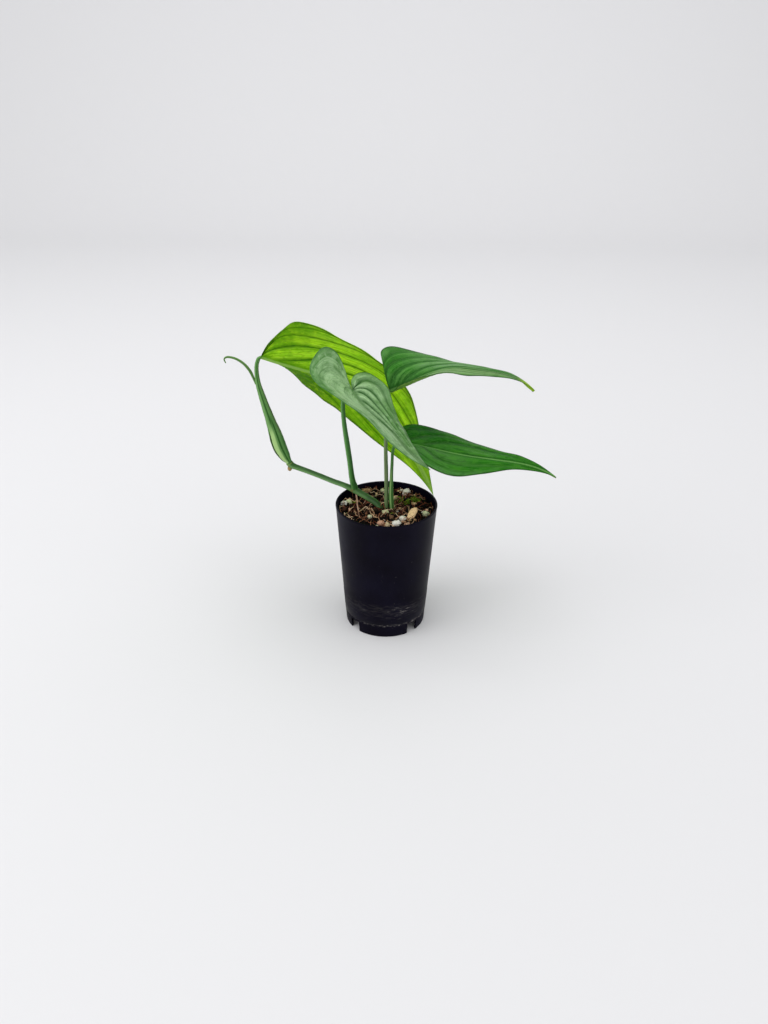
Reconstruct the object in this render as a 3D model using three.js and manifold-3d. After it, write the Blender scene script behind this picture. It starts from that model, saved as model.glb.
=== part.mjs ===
// A young potted monstera: a creeping stem with four heart-shaped leaves in a black nursery pot of bark mix
import * as THREE from 'three';
import { mergeVertices } from 'three/addons/utils/BufferGeometryUtils.js';
import Module from 'manifold-3d';

const wasm = await Module();
wasm.setup();

// Driving sizes, in millimetres. The origin lies on the ground below the middle of the leaves, +Z is up
const potCentreX = 1.6;
const potHeight = 90;
const potRimRadius = 34;
const potFootRadius = 27.7;
const potWall = 1.2;
const potSkirtHeight = 9;
const potSegments = 48;
const notch = { count: 4, width: 8, height: 8, firstAngle: 41.5 };
const drainHole = { radius: 3, ringRadius: 15, sides: 16 };
const mixDepthBelowRim = 4.5;
const clearance = 0.35;
const bladeMiddleThickness = 0.9;
const bladeMarginThickness = 0.7;

// Leaves: angles in degrees, listed from the base of the midrib to its tip. Heading turns from +X towards
// +Y, pitch lifts the midrib and roll tips its left side up. Fold lifts a half blade at the midrib and curl
// bends it further on its way to the margin. Breadth widens or narrows a half from its base to the tip. Lobe
// is how far it reaches back behind the base, and ease how far forward its shoulder starts, both as shares
// of the length
const leaves = {
  back: {
    base: [-81.7, 34.7, 179.1], length: 174.5, halfWidth: 36, ease: 0.08, ridge: 1.0,
    heading: [3.5, 15, 13.5, 14], pitch: [-20, -21, -50.5, -56.5, -69], roll: [-34.5, -52, -85.5, -85.5],
    left: { breadth: [1.06, 1.04, 0.93, 1.08], lobe: -0.01, lobeLift: 0, fold: [15, 18, -5],
      curl: [15, -36, 13] },
    right: { breadth: [1.21, 1.27, 1.17, 1.19], lobe: 0, lobeLift: 0, fold: [14, 11, 11],
      curl: [20, -44, 36] },
  },
  front: {
    base: [-20.3, -0.9, 168.6], length: 85.5, halfWidth: 28, ease: -0.03, ridge: 0.7,
    heading: [-70, -54, -55, -47], pitch: [-18, -12, -15, -18, -14], roll: [-21, -16, -13, -7],
    left: { breadth: [0.94, 0.89, 0.84, 0.92], lobe: 0.21, lobeLift: -2, fold: [23, -1, 1],
      curl: [-17, -23, -9] },
    right: { breadth: [1.13, 1.19, 1.16, 1.15], lobe: 0.25, lobeLift: 25, fold: [16, 25, -4],
      curl: [-12, -14, -7] },
  },
  upper: {
    base: [2.8, 13.8, 163.9], length: 100.5, halfWidth: 25.5, ease: 0.04, ridge: 0.7,
    heading: [16, 8, -7, 2], pitch: [16, 22, -3, -10, -42], roll: [31, 5, 4, 15],
    left: { breadth: [1.07, 1.09, 1.02, 1.01], lobe: 0, lobeLift: 0, fold: [36, -2, -8], curl: [7, -22, -1] },
    right: { breadth: [0.92, 0.94, 0.9, 0.89], lobe: 0.01, lobeLift: 0, fold: [42, 5, 7], curl: [35, -4, 3] },
  },
  lower: {
    base: [11.2, 3, 132.9], length: 102.5, halfWidth: 25, ease: 0.01, ridge: 0.7,
    heading: [-17, -19, -27, -28], pitch: [-4, -6, 2, 2, -19], roll: [-2, 8, 8, 22],
    left: { breadth: [1, 1, 0.99, 1.02], lobe: 0.07, lobeLift: -2, fold: [11, 1, 14], curl: [0, -20, -5] },
    right: { breadth: [1.02, 1.03, 1.03, 1], lobe: 0, lobeLift: 0, fold: [21, 0, 4], curl: [4, -30, -1] },
  },
};

// Stalks: the centre line's points and the half width at even steps along it. Depth, where it is given, is
// the half size across the width; the width lies across the direction that a viewer in front looks in
const stalks = {
  creeping_stem: {
    points: [[1.5, -4, 79], [-2.6, 1.4, 85.6], [-6, 4.8, 87.8], [-11, 9.5, 88.9], [-16, 14, 89.8],
      [-20.4, 17.2, 90.9], [-27.1, 19.8, 92.9], [-36.3, 25, 93.9], [-45, 30, 95.2], [-55.7, 35, 97.1],
      [-62.2, 37.4, 98.4], [-65.6, 38.3, 99.6], [-67.1, 38.6, 101.4]],
    width: [1.9, 2, 2.1, 2.1, 2.2, 2.3, 1.9, 1.8, 1.8, 1.85, 2, 2.3, 2.3],
    steps: 30, sides: 10,
  },
  front_petiole: {
    points: [[-20.6, 16.8, 94.5], [-21.4, 15.8, 97.4], [-22.3, 14.5, 104], [-23.2, 13, 114], [-25, 11.5, 129],
      [-26.6, 10.3, 143], [-27.1, 9.2, 155], [-25.9, 6.6, 162.5], [-22.9, 2.6, 166.3], [-21.3, 0.9, 167.2]],
    width: [2.3, 2.1, 1.9, 1.8, 1.75, 1.5, 1.35, 1.3, 1.2, 1],
    steps: 24, sides: 10,
  },
  back_petiole: {
    points: [[-67.6, 38.7, 102.2], [-69.9, 38.1, 106.3], [-73.2, 37.4, 114.2], [-75.6, 36.6, 124],
      [-78.2, 36, 134], [-80.6, 35.5, 143], [-82.9, 35.1, 152], [-84.8, 35, 160.3], [-85.4, 35, 168],
      [-85, 35, 173.4], [-83.8, 35, 176.9], [-82.9, 35, 178]],
    width: [2.3, 3.9, 5, 4.5, 3.4, 2.8, 2.3, 1.8, 1.45, 1.35, 1.3, 1.1],
    depth: [2.2, 2.6, 3, 2.9, 2.5, 2.2, 2, 1.7, 1.45, 1.35, 1.3, 1],
    steps: 30, sides: 12,
  },
  upper_petiole: {
    points: [[2.5, 1.5, 77], [1.7, 2.5, 85.5], [1.5, 4.5, 97], [1.2, 6.7, 109], [0.7, 9, 125],
      [0.8, 11.3, 140], [1.1, 13, 152], [1.4, 13.8, 159.3], [1.8, 14, 162.8]],
    width: [1.3, 1.35, 1.35, 1.35, 1.25, 1.15, 1.1, 1.1, 1],
    steps: 20, sides: 8,
  },
  lower_petiole: {
    points: [[6.4, -0.2, 77], [5.3, 0.9, 85.5], [4.6, 1.8, 96], [4.7, 2.4, 108], [5, 2.8, 119],
      [6, 3.1, 126.5], [8, 3.1, 130.2], [9.6, 3, 131.5]],
    width: [1.5, 1.55, 1.6, 1.15, 1, 1, 0.95, 0.85],
    steps: 20, sides: 8,
  },
  rolled_leaf: {
    points: [[-87.9, 35.6, 164.2], [-89.9, 35.4, 169], [-93.6, 35, 174], [-98.6, 35, 177.3],
      [-103.8, 35, 178.4], [-106.2, 35, 177], [-105.4, 35, 174.4]],
    width: [0.8, 1, 0.9, 0.8, 0.7, 0.5, 0.35],
    steps: 18, sides: 8,
  },
  aerial_root: {
    points: [[-18.8, 14.2, 87.3], [-18.3, 9, 86.9], [-18, 3, 86.8], [-17.2, -4, 86.9], [-16.4, -9.6, 85.4],
      [-16.1, -11, 83.4]],
    width: [0.6, 0.55, 0.5, 0.5, 0.5, 0.45],
    steps: 14, sides: 6,
  },
};
const budCentre = [-66.8, 38, 95.6];
const budRadius = 1.4;

// Grains and chips that stand out on the mix: place on its surface and half sizes along, across and up
const notableGrains = [
  { x: 15.6, y: 24.4, size: [2.5, 2.3, 2] }, { x: -27.2, y: 5.5, size: [2.2, 1.9, 1.7] },
  { x: -24, y: 8, size: [2.1, 2.2, 1.8] }, { x: 1, y: -6.8, size: [2.1, 1.7, 1.6] },
  { x: 8, y: -23.5, size: [3, 2.4, 2.1] }, { x: 12.4, y: -17, size: [2.3, 1.8, 1.7] },
  { x: -2.2, y: -21.4, size: [2.3, 2, 1.8] }, { x: 2.2, y: -24.6, size: [1.7, 1.6, 1.4] },
  { x: 27.6, y: -9, size: [2.2, 2, 1.9] }, { x: 8.5, y: 15.5, size: [1.8, 1.5, 1.4] },
];
const notableChips = [
  { x: 18.4, y: -14.8, size: [4.6, 2.6, 1.2], turn: 60 }, { x: -12.2, y: 25.7, size: [3, 2.4, 1], turn: 20 },
  { x: 5, y: -12.5, size: [2.6, 1.4, 1.1], turn: 100 }, { x: -8, y: -4, size: [4.8, 1.2, 0.9], turn: 25 },
];
const scatteredPieces = { count: 36, reach: 27.8, seed: 7, stemRoom: 4.2 };

// Curves

// A smooth value through evenly spaced values, which are numbers or lists of numbers
function blend(values, share) {
  const last = values.length - 1;
  const place = THREE.MathUtils.clamp(share, 0, 1) * last;
  const index = Math.min(Math.floor(place), last - 1);
  const weight = place - index;
  const at = (i) => values[THREE.MathUtils.clamp(i, 0, last)];
  const mix = (a, b, c, d) => b + 0.5 * weight * (c - a + weight * (2 * a - 5 * b + 4 * c - d
    + weight * (3 * (b - c) + d - a)));
  const four = [at(index - 1), at(index), at(index + 1), at(index + 2)];
  return Array.isArray(values[0]) ? values[0].map((_, k) => mix(...four.map((v) => v[k]))) : mix(...four);
}

const radians = THREE.MathUtils.degToRad;

function seededRandom(seed) {
  let state = seed;
  return () => {
    state = (Math.imul(state, 1664525) + 1013904223) >>> 0;
    return state / 4294967296;
  };
}

// Geometry helpers

function indexedGeometry(points, triangles) {
  const geometry = new THREE.BufferGeometry();
  geometry.setAttribute('position', new THREE.Float32BufferAttribute(points.flat(), 3));
  geometry.setIndex(triangles.flat());
  geometry.computeVertexNormals();
  return geometry;
}

function toSolid(source) {
  const plain = source.clone();
  plain.deleteAttribute('normal');
  plain.deleteAttribute('uv');
  const merged = mergeVertices(plain, 1e-4);
  const vertProperties = Float32Array.from(merged.attributes.position.array);
  const triVerts = Uint32Array.from(merged.index.array);
  return new wasm.Manifold(new wasm.Mesh({ numProp: 3, vertProperties, triVerts }));
}

function toGeometry(solid) {
  const { vertProperties, triVerts } = solid.getMesh();
  const geometry = new THREE.BufferGeometry();
  geometry.setAttribute('position', new THREE.BufferAttribute(vertProperties, 3));
  geometry.setIndex(new THREE.BufferAttribute(triVerts, 1));
  geometry.computeVertexNormals();
  return geometry;
}

function addMesh(group, name, geometry, material) {
  const mesh = new THREE.Mesh(geometry, material);
  mesh.name = name;
  group.add(mesh);
  return mesh;
}

// Leaf blades

// Half of the blade's edge, from the base round the lobe to the tip, as shares of length and half width
function bladeOutline(lobe, ease) {
  return [
    [0, 0], [-0.62 * lobe, 0.1], [-lobe + 0.12 * ease, 0.36], [-0.92 * lobe + 0.5 * ease, 0.68],
    [-0.3 * lobe + ease, 0.92], [0.1 + 1.1 * ease, 1], [0.26 + 0.6 * ease, 0.95], [0.44, 0.76],
    [0.62, 0.49], [0.78, 0.24], [0.91, 0.08], [1, 0],
  ];
}

// The midrib in even steps: a place, its direction, and the directions to its left and out of its upper side
function midribSteps(leaf, count = 96) {
  const steps = [];
  const place = new THREE.Vector3(...leaf.base);
  let before = null;
  for (let i = 0; i <= count; i += 1) {
    const heading = radians(blend(leaf.heading, i / count));
    const pitch = radians(blend(leaf.pitch, i / count));
    const roll = radians(blend(leaf.roll, i / count));
    const along = new THREE.Vector3(Math.cos(pitch) * Math.cos(heading), Math.cos(pitch) * Math.sin(heading),
      Math.sin(pitch));
    const level = new THREE.Vector3(-Math.sin(heading), Math.cos(heading), 0);
    const above = new THREE.Vector3().crossVectors(along, level);
    const left = level.clone().multiplyScalar(Math.cos(roll)).addScaledVector(above, Math.sin(roll));
    const up = above.clone().multiplyScalar(Math.cos(roll)).addScaledVector(level, -Math.sin(roll));
    if (before) {
      place.addScaledVector(before.clone().add(along), 0.5 * leaf.length / count);
    }
    steps.push({ place: place.clone(), along, left, up });
    before = along;
  }
  return steps;
}

// The place and the upper side's direction at a flat position on the blade
function bladePoint(leaf, steps, sideName, alongLength, across) {
  const side = leaf[sideName];
  const sign = sideName === 'left' ? 1 : -1;
  const share = THREE.MathUtils.clamp(alongLength / leaf.length, 0, 1);
  const exact = share * (steps.length - 1);
  const index = Math.min(Math.floor(exact), steps.length - 2);
  const between = (key) => steps[index][key].clone().lerp(steps[index + 1][key], exact - index);
  const fold = radians(blend(side.fold, share));
  const curl = radians(blend(side.curl, share)) + 1e-6;
  const angle = fold + curl * across / leaf.halfWidth;
  const outward = leaf.halfWidth / curl * (Math.sin(angle) - Math.sin(fold));
  const lift = leaf.halfWidth / curl * (Math.cos(fold) - Math.cos(angle));
  const behind = Math.min(alongLength, 0);
  const lobeLift = 0.5 * radians(side.lobeLift) * -behind / (0.12 * leaf.length);
  const place = between('place')
    .addScaledVector(between('along'), behind * Math.cos(lobeLift))
    .addScaledVector(between('up'), lift - behind * Math.sin(lobeLift))
    .addScaledVector(between('left'), sign * outward);
  const normal = between('up').multiplyScalar(Math.cos(angle))
    .addScaledVector(between('left'), -sign * Math.sin(angle));
  return { place, normal: across > 0 ? normal : between('up') };
}

// Rows run from the base round the lobe to the tip, columns from the midrib to the margin, as the veins do
function bladeGeometry(leaf, rows = 20, columns = 4) {
  const steps = midribSteps(leaf);
  const firstVeinRow = 0.4;
  const top = [];
  const bottom = [];
  const numbers = new Map();
  const faces = [];

  const vertex = (sideName, row, column) => {
    const share = row / rows;
    const rise = Math.max(0, (share - firstVeinRow) / (1 - firstVeinRow)) ** 1.7;
    const atBase = row === 0 || (column === 0 && rise === 0);
    let key = column === 0 ? `midrib ${row}` : `${sideName} ${row} ${column}`;
    key = atBase ? 'base' : key;
    key = row === rows ? 'tip' : key;
    if (!numbers.has(key)) {
      const [edgeAlong, edgeAcross] = blend(bladeOutline(leaf[sideName].lobe, leaf.ease), share);
      const start = rise * leaf.length;
      const end = edgeAlong * leaf.length;
      const edge = Math.max(0, edgeAcross) * leaf.halfWidth * blend(leaf[sideName].breadth, share);
      const v = column / columns;
      const along = start + (end - start) * (0.7 * v * (1 - v) + v * v);
      const across = edge * (1.1 * v * (1 - v) + v * v);
      const { place, normal } = bladePoint(leaf, steps, sideName, along, across);
      const half = 0.5 * THREE.MathUtils.lerp(bladeMiddleThickness, bladeMarginThickness, v);
      const rib = column === 0 ? leaf.ridge * (1 - 0.8 * share) : 0;
      numbers.set(key, top.length);
      top.push(place.clone().addScaledVector(normal, half).toArray());
      bottom.push(place.clone().addScaledVector(normal, -half - rib).toArray());
    }
    return numbers.get(key);
  };

  for (const sideName of ['left', 'right']) {
    for (let row = 0; row < rows; row += 1) {
      for (let column = 0; column < columns; column += 1) {
        const corners = [vertex(sideName, row, column), vertex(sideName, row + 1, column),
          vertex(sideName, row + 1, column + 1), vertex(sideName, row, column + 1)];
        for (const [a, b, c] of [[0, 1, 2], [0, 2, 3]]) {
          const face = [corners[a], corners[b], corners[c]];
          if (new Set(face).size === 3) {
            faces.push(sideName === 'left' ? face : face.reverse());
          }
        }
      }
    }
  }

  const under = top.length;
  const edges = new Set(faces.flatMap(([a, b, c]) => [`${a} ${b}`, `${b} ${c}`, `${c} ${a}`]));
  const walls = [];
  for (const edge of edges) {
    const [a, b] = edge.split(' ').map(Number);
    if (!edges.has(`${b} ${a}`)) {
      walls.push([b, a, a + under], [b, a + under, b + under]);
    }
  }
  const undersides = faces.map(([a, b, c]) => [c + under, b + under, a + under]);
  return indexedGeometry([...top, ...bottom], [...faces, ...undersides, ...walls]);
}

// Stems, petioles and roots

// Rings of points along the centre line, closed by flat ends; grow widens the stalk and lengthens its ends
function stalkGeometry(stalk, grow = 0) {
  const { points, width, depth = width, steps, sides } = stalk;
  const spot = (share) => new THREE.Vector3(...blend(points, share));
  const lookDirection = new THREE.Vector3(0, 1, 0);
  const vertices = [];
  const triangles = [];
  for (let i = 0; i <= steps; i += 1) {
    const share = i / steps;
    const along = spot(Math.min(1, share + 0.01)).sub(spot(Math.max(0, share - 0.01))).normalize();
    const endShift = { 0: -grow, [steps]: grow }[i] ?? 0;
    const centre = spot(share).addScaledVector(along, endShift);
    const widthAxis = new THREE.Vector3().crossVectors(along, lookDirection).normalize();
    const depthAxis = new THREE.Vector3().crossVectors(along, widthAxis);
    for (let k = 0; k < sides; k += 1) {
      const angle = 2 * Math.PI * k / sides;
      vertices.push(centre.clone()
        .addScaledVector(widthAxis, Math.cos(angle) * (blend(width, share) + grow))
        .addScaledVector(depthAxis, Math.sin(angle) * (blend(depth, share) + grow)).toArray());
    }
  }
  for (let i = 0; i < steps; i += 1) {
    for (let k = 0; k < sides; k += 1) {
      const a = i * sides + k;
      const b = i * sides + (k + 1) % sides;
      triangles.push([a, b, b + sides], [a, b + sides, a + sides]);
    }
  }
  for (let k = 1; k < sides - 1; k += 1) {
    triangles.push([0, k + 1, k], [steps * sides, steps * sides + k, steps * sides + k + 1]);
  }
  return indexedGeometry(vertices, triangles);
}

function budGeometry() {
  const bud = new THREE.IcosahedronGeometry(budRadius, 1);
  bud.scale(1, 0.9, 1.15);
  return bud;
}

// Pot

function radiusAtHeight(height) {
  return THREE.MathUtils.lerp(potFootRadius, potRimRadius, height / potHeight);
}

function potGeometry() {
  const floorTop = potSkirtHeight + potWall;
  const inner = (height) => radiusAtHeight(height) - potWall;
  const profile = [[0, potSkirtHeight], [inner(potSkirtHeight), potSkirtHeight], [inner(0), 0],
    [radiusAtHeight(0), 0], [radiusAtHeight(potHeight), potHeight], [inner(potHeight), potHeight],
    [inner(floorTop), floorTop], [0, floorTop]];
  const lathe = new THREE.LatheGeometry(profile.map(([r, h]) => new THREE.Vector2(r, h)), potSegments);
  let pot = toSolid(lathe.rotateX(Math.PI / 2));
  for (let i = 0; i < notch.count; i += 1) {
    const angle = radians(notch.firstAngle + i * 360 / notch.count);
    const cutter = new THREE.BoxGeometry(10, notch.width, 2 * notch.height);
    cutter.translate(potFootRadius, 0, 0).rotateZ(angle);
    const drain = new THREE.CylinderGeometry(drainHole.radius, drainHole.radius, 6, drainHole.sides);
    drain.rotateX(Math.PI / 2).translate(drainHole.ringRadius, 0, potSkirtHeight + potWall / 2);
    drain.rotateZ(angle);
    pot = pot.subtract(toSolid(cutter)).subtract(toSolid(drain));
  }
  return toGeometry(pot.translate([potCentreX, 0, 0]));
}

// Potting mix

function mixHeight(x, y) {
  return potHeight - mixDepthBelowRim + 0.5 * Math.sin(0.23 * x + 1.1) * Math.cos(0.19 * y)
    + 0.35 * Math.sin(0.41 * y - 0.3 * x);
}

function mixBodyGeometry(rings = 6, segments = 36) {
  const floorTop = potSkirtHeight + potWall + clearance;
  const wallGap = potWall + 2 * clearance;
  const topRadius = radiusAtHeight(potHeight - mixDepthBelowRim) - wallGap;
  const floorRadius = radiusAtHeight(floorTop) - wallGap;
  const vertices = [[potCentreX, 0, mixHeight(potCentreX, 0)]];
  const triangles = [];
  for (let ring = 1; ring <= rings + 1; ring += 1) {
    for (let k = 0; k < segments; k += 1) {
      const angle = 2 * Math.PI * k / segments;
      const radius = ring > rings ? floorRadius : topRadius * ring / rings;
      const x = potCentreX + radius * Math.cos(angle);
      const y = radius * Math.sin(angle);
      vertices.push([x, y, ring > rings ? floorTop : mixHeight(x, y)]);
      const here = 1 + (ring - 1) * segments + k;
      const next = 1 + (ring - 1) * segments + (k + 1) % segments;
      if (ring === 1) {
        triangles.push([0, here, next]);
      } else {
        triangles.push([here - segments, here, next], [here - segments, next, next - segments]);
      }
    }
  }
  const floorCentre = vertices.length;
  vertices.push([potCentreX, 0, floorTop]);
  for (let k = 0; k < segments; k += 1) {
    triangles.push([floorCentre, 1 + rings * segments + (k + 1) % segments, 1 + rings * segments + k]);
  }
  return indexedGeometry(vertices, triangles);
}

// A grain is a rough ball and a chip a flat block, both sunk well into the mix
function grainSolid({ x, y, size }, random) {
  const grain = new THREE.IcosahedronGeometry(1, 0).scale(...size);
  grain.rotateZ(random() * Math.PI).translate(x, y, mixHeight(x, y) + 0.35 * size[2]);
  return toSolid(grain);
}

function chipSolid({ x, y, size, turn }, random) {
  const chip = new THREE.BoxGeometry(2 * size[0], 2 * size[1], 2 * size[2]);
  chip.rotateX(0.3 * (random() - 0.5)).rotateY(0.4 * (random() - 0.5)).rotateZ(radians(turn));
  return toSolid(chip.translate(x, y, mixHeight(x, y) + 0.25 * size[2]));
}

// Places near a stem stay free, so that no piece is cut loose by the hole or groove that the stem lies in
function nearStem(x, y) {
  return ['creeping_stem', 'upper_petiole', 'lower_petiole', 'aerial_root'].some((name) => {
    for (let share = 0; share <= 1; share += 0.02) {
      const [px, py, pz] = blend(stalks[name].points, share);
      if (pz < potHeight + 3 && Math.hypot(px - x, py - y) < scatteredPieces.stemRoom) {
        return true;
      }
    }
    return false;
  });
}

function mixGeometry() {
  const random = seededRandom(scatteredPieces.seed);
  let mix = toSolid(mixBodyGeometry());
  for (const grain of notableGrains) {
    mix = mix.add(grainSolid(grain, random));
  }
  for (const chip of notableChips) {
    mix = mix.add(chipSolid(chip, random));
  }
  for (let i = 0; i < scatteredPieces.count; i += 1) {
    const radius = scatteredPieces.reach * Math.sqrt(random());
    const angle = 2 * Math.PI * random();
    const x = potCentreX + radius * Math.cos(angle);
    const y = radius * Math.sin(angle);
    const length = 1.2 + 1.6 * random();
    const turn = 360 * random();
    const asGrain = random() < 0.4;
    if (nearStem(x, y)) {
      continue;
    }
    const piece = asGrain
      ? grainSolid({ x, y, size: [0.8 * length, 0.7 * length, 0.7 * length] }, random)
      : chipSolid({ x, y, size: [length, 0.5 * length, 0.35 * length], turn }, random);
    mix = mix.add(piece);
  }
  for (const name of ['creeping_stem', 'upper_petiole', 'lower_petiole', 'aerial_root']) {
    mix = mix.subtract(toSolid(stalkGeometry(stalks[name], clearance)));
  }
  return toGeometry(mix);
}

// Materials

const materials = {
  pot: new THREE.MeshStandardMaterial({ color: 0x17171b, roughness: 0.42, metalness: 0 }),
  mix: new THREE.MeshStandardMaterial({ color: 0x2e2019, roughness: 0.95, metalness: 0 }),
  stem: new THREE.MeshStandardMaterial({ color: 0x3f6b45, roughness: 0.5, metalness: 0 }),
  petiole: new THREE.MeshStandardMaterial({ color: 0x4e7248, roughness: 0.5, metalness: 0 }),
  sheath: new THREE.MeshStandardMaterial({ color: 0x6f9a58, roughness: 0.5, metalness: 0 }),
  youngLeaf: new THREE.MeshStandardMaterial({ color: 0x5f7f4c, roughness: 0.5, metalness: 0 }),
  bud: new THREE.MeshStandardMaterial({ color: 0x8a6a48, roughness: 0.8, metalness: 0 }),
  root: new THREE.MeshStandardMaterial({ color: 0xb59a88, roughness: 0.8, metalness: 0 }),
  backBlade: new THREE.MeshStandardMaterial({ color: 0x6fa51f, roughness: 0.55, metalness: 0 }),
  frontBlade: new THREE.MeshStandardMaterial({ color: 0x5d8a57, roughness: 0.42, metalness: 0 }),
  upperBlade: new THREE.MeshStandardMaterial({ color: 0x437440, roughness: 0.42, metalness: 0 }),
  lowerBlade: new THREE.MeshStandardMaterial({ color: 0x2f6a2c, roughness: 0.42, metalness: 0 }),
};

// The plant in its pot

const pottedMonstera = new THREE.Group();
addMesh(pottedMonstera, 'pot', potGeometry(), materials.pot);
addMesh(pottedMonstera, 'potting_mix', mixGeometry(), materials.mix);
addMesh(pottedMonstera, 'creeping_stem', stalkGeometry(stalks.creeping_stem), materials.stem);
addMesh(pottedMonstera, 'back_petiole', stalkGeometry(stalks.back_petiole), materials.sheath);
addMesh(pottedMonstera, 'front_petiole', stalkGeometry(stalks.front_petiole), materials.petiole);
addMesh(pottedMonstera, 'upper_petiole', stalkGeometry(stalks.upper_petiole), materials.petiole);
addMesh(pottedMonstera, 'lower_petiole', stalkGeometry(stalks.lower_petiole), materials.petiole);
addMesh(pottedMonstera, 'rolled_leaf', stalkGeometry(stalks.rolled_leaf), materials.youngLeaf);
addMesh(pottedMonstera, 'aerial_root', stalkGeometry(stalks.aerial_root), materials.root);
const bud = addMesh(pottedMonstera, 'axillary_bud', budGeometry(), materials.bud);
bud.position.set(...budCentre);
addMesh(pottedMonstera, 'back_blade', bladeGeometry(leaves.back), materials.backBlade);
addMesh(pottedMonstera, 'front_blade', bladeGeometry(leaves.front), materials.frontBlade);
addMesh(pottedMonstera, 'upper_blade', bladeGeometry(leaves.upper), materials.upperBlade);
addMesh(pottedMonstera, 'lower_blade', bladeGeometry(leaves.lower), materials.lowerBlade);

export default pottedMonstera;
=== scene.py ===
import math

import bpy
from mathutils import Matrix, Vector, noise


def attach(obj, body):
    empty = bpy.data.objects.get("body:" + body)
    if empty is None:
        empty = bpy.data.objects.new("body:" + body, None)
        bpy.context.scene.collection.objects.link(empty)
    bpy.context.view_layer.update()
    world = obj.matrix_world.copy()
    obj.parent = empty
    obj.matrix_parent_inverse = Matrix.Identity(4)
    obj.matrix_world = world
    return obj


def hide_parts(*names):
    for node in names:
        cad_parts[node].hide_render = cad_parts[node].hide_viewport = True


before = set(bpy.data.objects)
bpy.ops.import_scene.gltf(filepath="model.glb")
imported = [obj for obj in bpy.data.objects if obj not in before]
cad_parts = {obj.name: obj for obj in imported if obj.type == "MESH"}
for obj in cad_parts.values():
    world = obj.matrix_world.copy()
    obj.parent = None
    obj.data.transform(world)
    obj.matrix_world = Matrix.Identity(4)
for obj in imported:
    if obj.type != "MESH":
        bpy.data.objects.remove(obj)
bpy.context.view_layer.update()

metresPerMillimetre = 0.001
print("frame loaded")


# Numbers

def cubicBetween(a, b, c, d, weight):
    # A smooth value between b and c, with a before them and d after them
    bend = 2 * a - 5 * b + 4 * c - d + weight * (3 * (b - c) + d - a)
    return b + 0.5 * weight * (c - a + weight * bend)


def blendOf(values, share):
    # A smooth value through evenly spaced values, which are numbers or lists of numbers
    last = len(values) - 1
    place = min(max(share, 0), 1) * last
    index = min(int(place), last - 1)
    four = [values[min(max(index + step, 0), last)] for step in (-1, 0, 1, 2)]
    if isinstance(values[0], (list, tuple)):
        return [cubicBetween(*(value[k] for value in four), place - index) for k in range(len(values[0]))]
    return cubicBetween(*four, place - index)


def softStep(low, high, value):
    share = min(max((value - low) / (high - low), 0), 1)
    return share * share * (3 - 2 * share)


def bell(distance, width):
    return math.exp(-(distance / width) ** 2)


def mixed(a, b, share):
    return a + (b - a) * share


def onCircle(share, radius=1):
    # The place at a share of a full turn
    angle = 2 * math.pi * share
    return radius * math.cos(angle), radius * math.sin(angle)


def seededRandom(seed):
    state = [seed]

    def draw():
        state[0] = (state[0] * 1664525 + 1013904223) % 4294967296
        return state[0] / 4294967296
    return draw


# Meshes and materials

def meshOf(name, points, faces):
    mesh = bpy.data.meshes.new(name)
    mesh.from_pydata([Vector(point) * metresPerMillimetre for point in points], [], faces)
    mesh.polygons.foreach_set("use_smooth", [True] * len(faces))
    return mesh


def placed(name, data):
    thing = bpy.data.objects.new(name, data)
    bpy.context.scene.collection.objects.link(thing)
    return thing


def tubeFaces(rings, sides, capped=True):
    # Faces between rings of points, and over the first and the last ring
    faces = []
    for i in range(rings - 1):
        for k in range(sides):
            a, b = i * sides + k, i * sides + (k + 1) % sides
            faces.append((a, b, b + sides, a + sides))
    if capped:
        faces += [tuple(range(sides))[::-1], tuple(range((rings - 1) * sides, rings * sides))]
    return faces


def addPiece(name, points, faces, materials, nodes=(), faceMaterials=None, numbers=None,
             vectors=None):
    # Points are in millimetres. Numbers and vectors are named values for each point, which the
    # materials read
    mesh = meshOf(name, points, faces)
    for material in materials:
        mesh.materials.append(material)
    if faceMaterials:
        mesh.polygons.foreach_set("material_index", faceMaterials)
    for key, values in (numbers or {}).items():
        mesh.attributes.new(key, "FLOAT", "POINT").data.foreach_set("value", values)
    for key, values in (vectors or {}).items():
        flat = [number for value in values for number in value]
        mesh.attributes.new(key, "FLOAT_VECTOR", "POINT").data.foreach_set("vector", flat)
    mesh.update()
    piece = placed(name, mesh)
    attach(piece, "root")
    if nodes:
        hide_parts(*nodes)
    return piece


def paint(colour):
    # A screen colour from 0 to 255 as a shader colour. The output of a node stays as it is
    if isinstance(colour, bpy.types.NodeSocket):
        return colour
    return (*(c / 255 / 12.92 if c <= 10 else ((c / 255 + 0.055) / 1.055) ** 2.4 for c in colour), 1)


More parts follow.
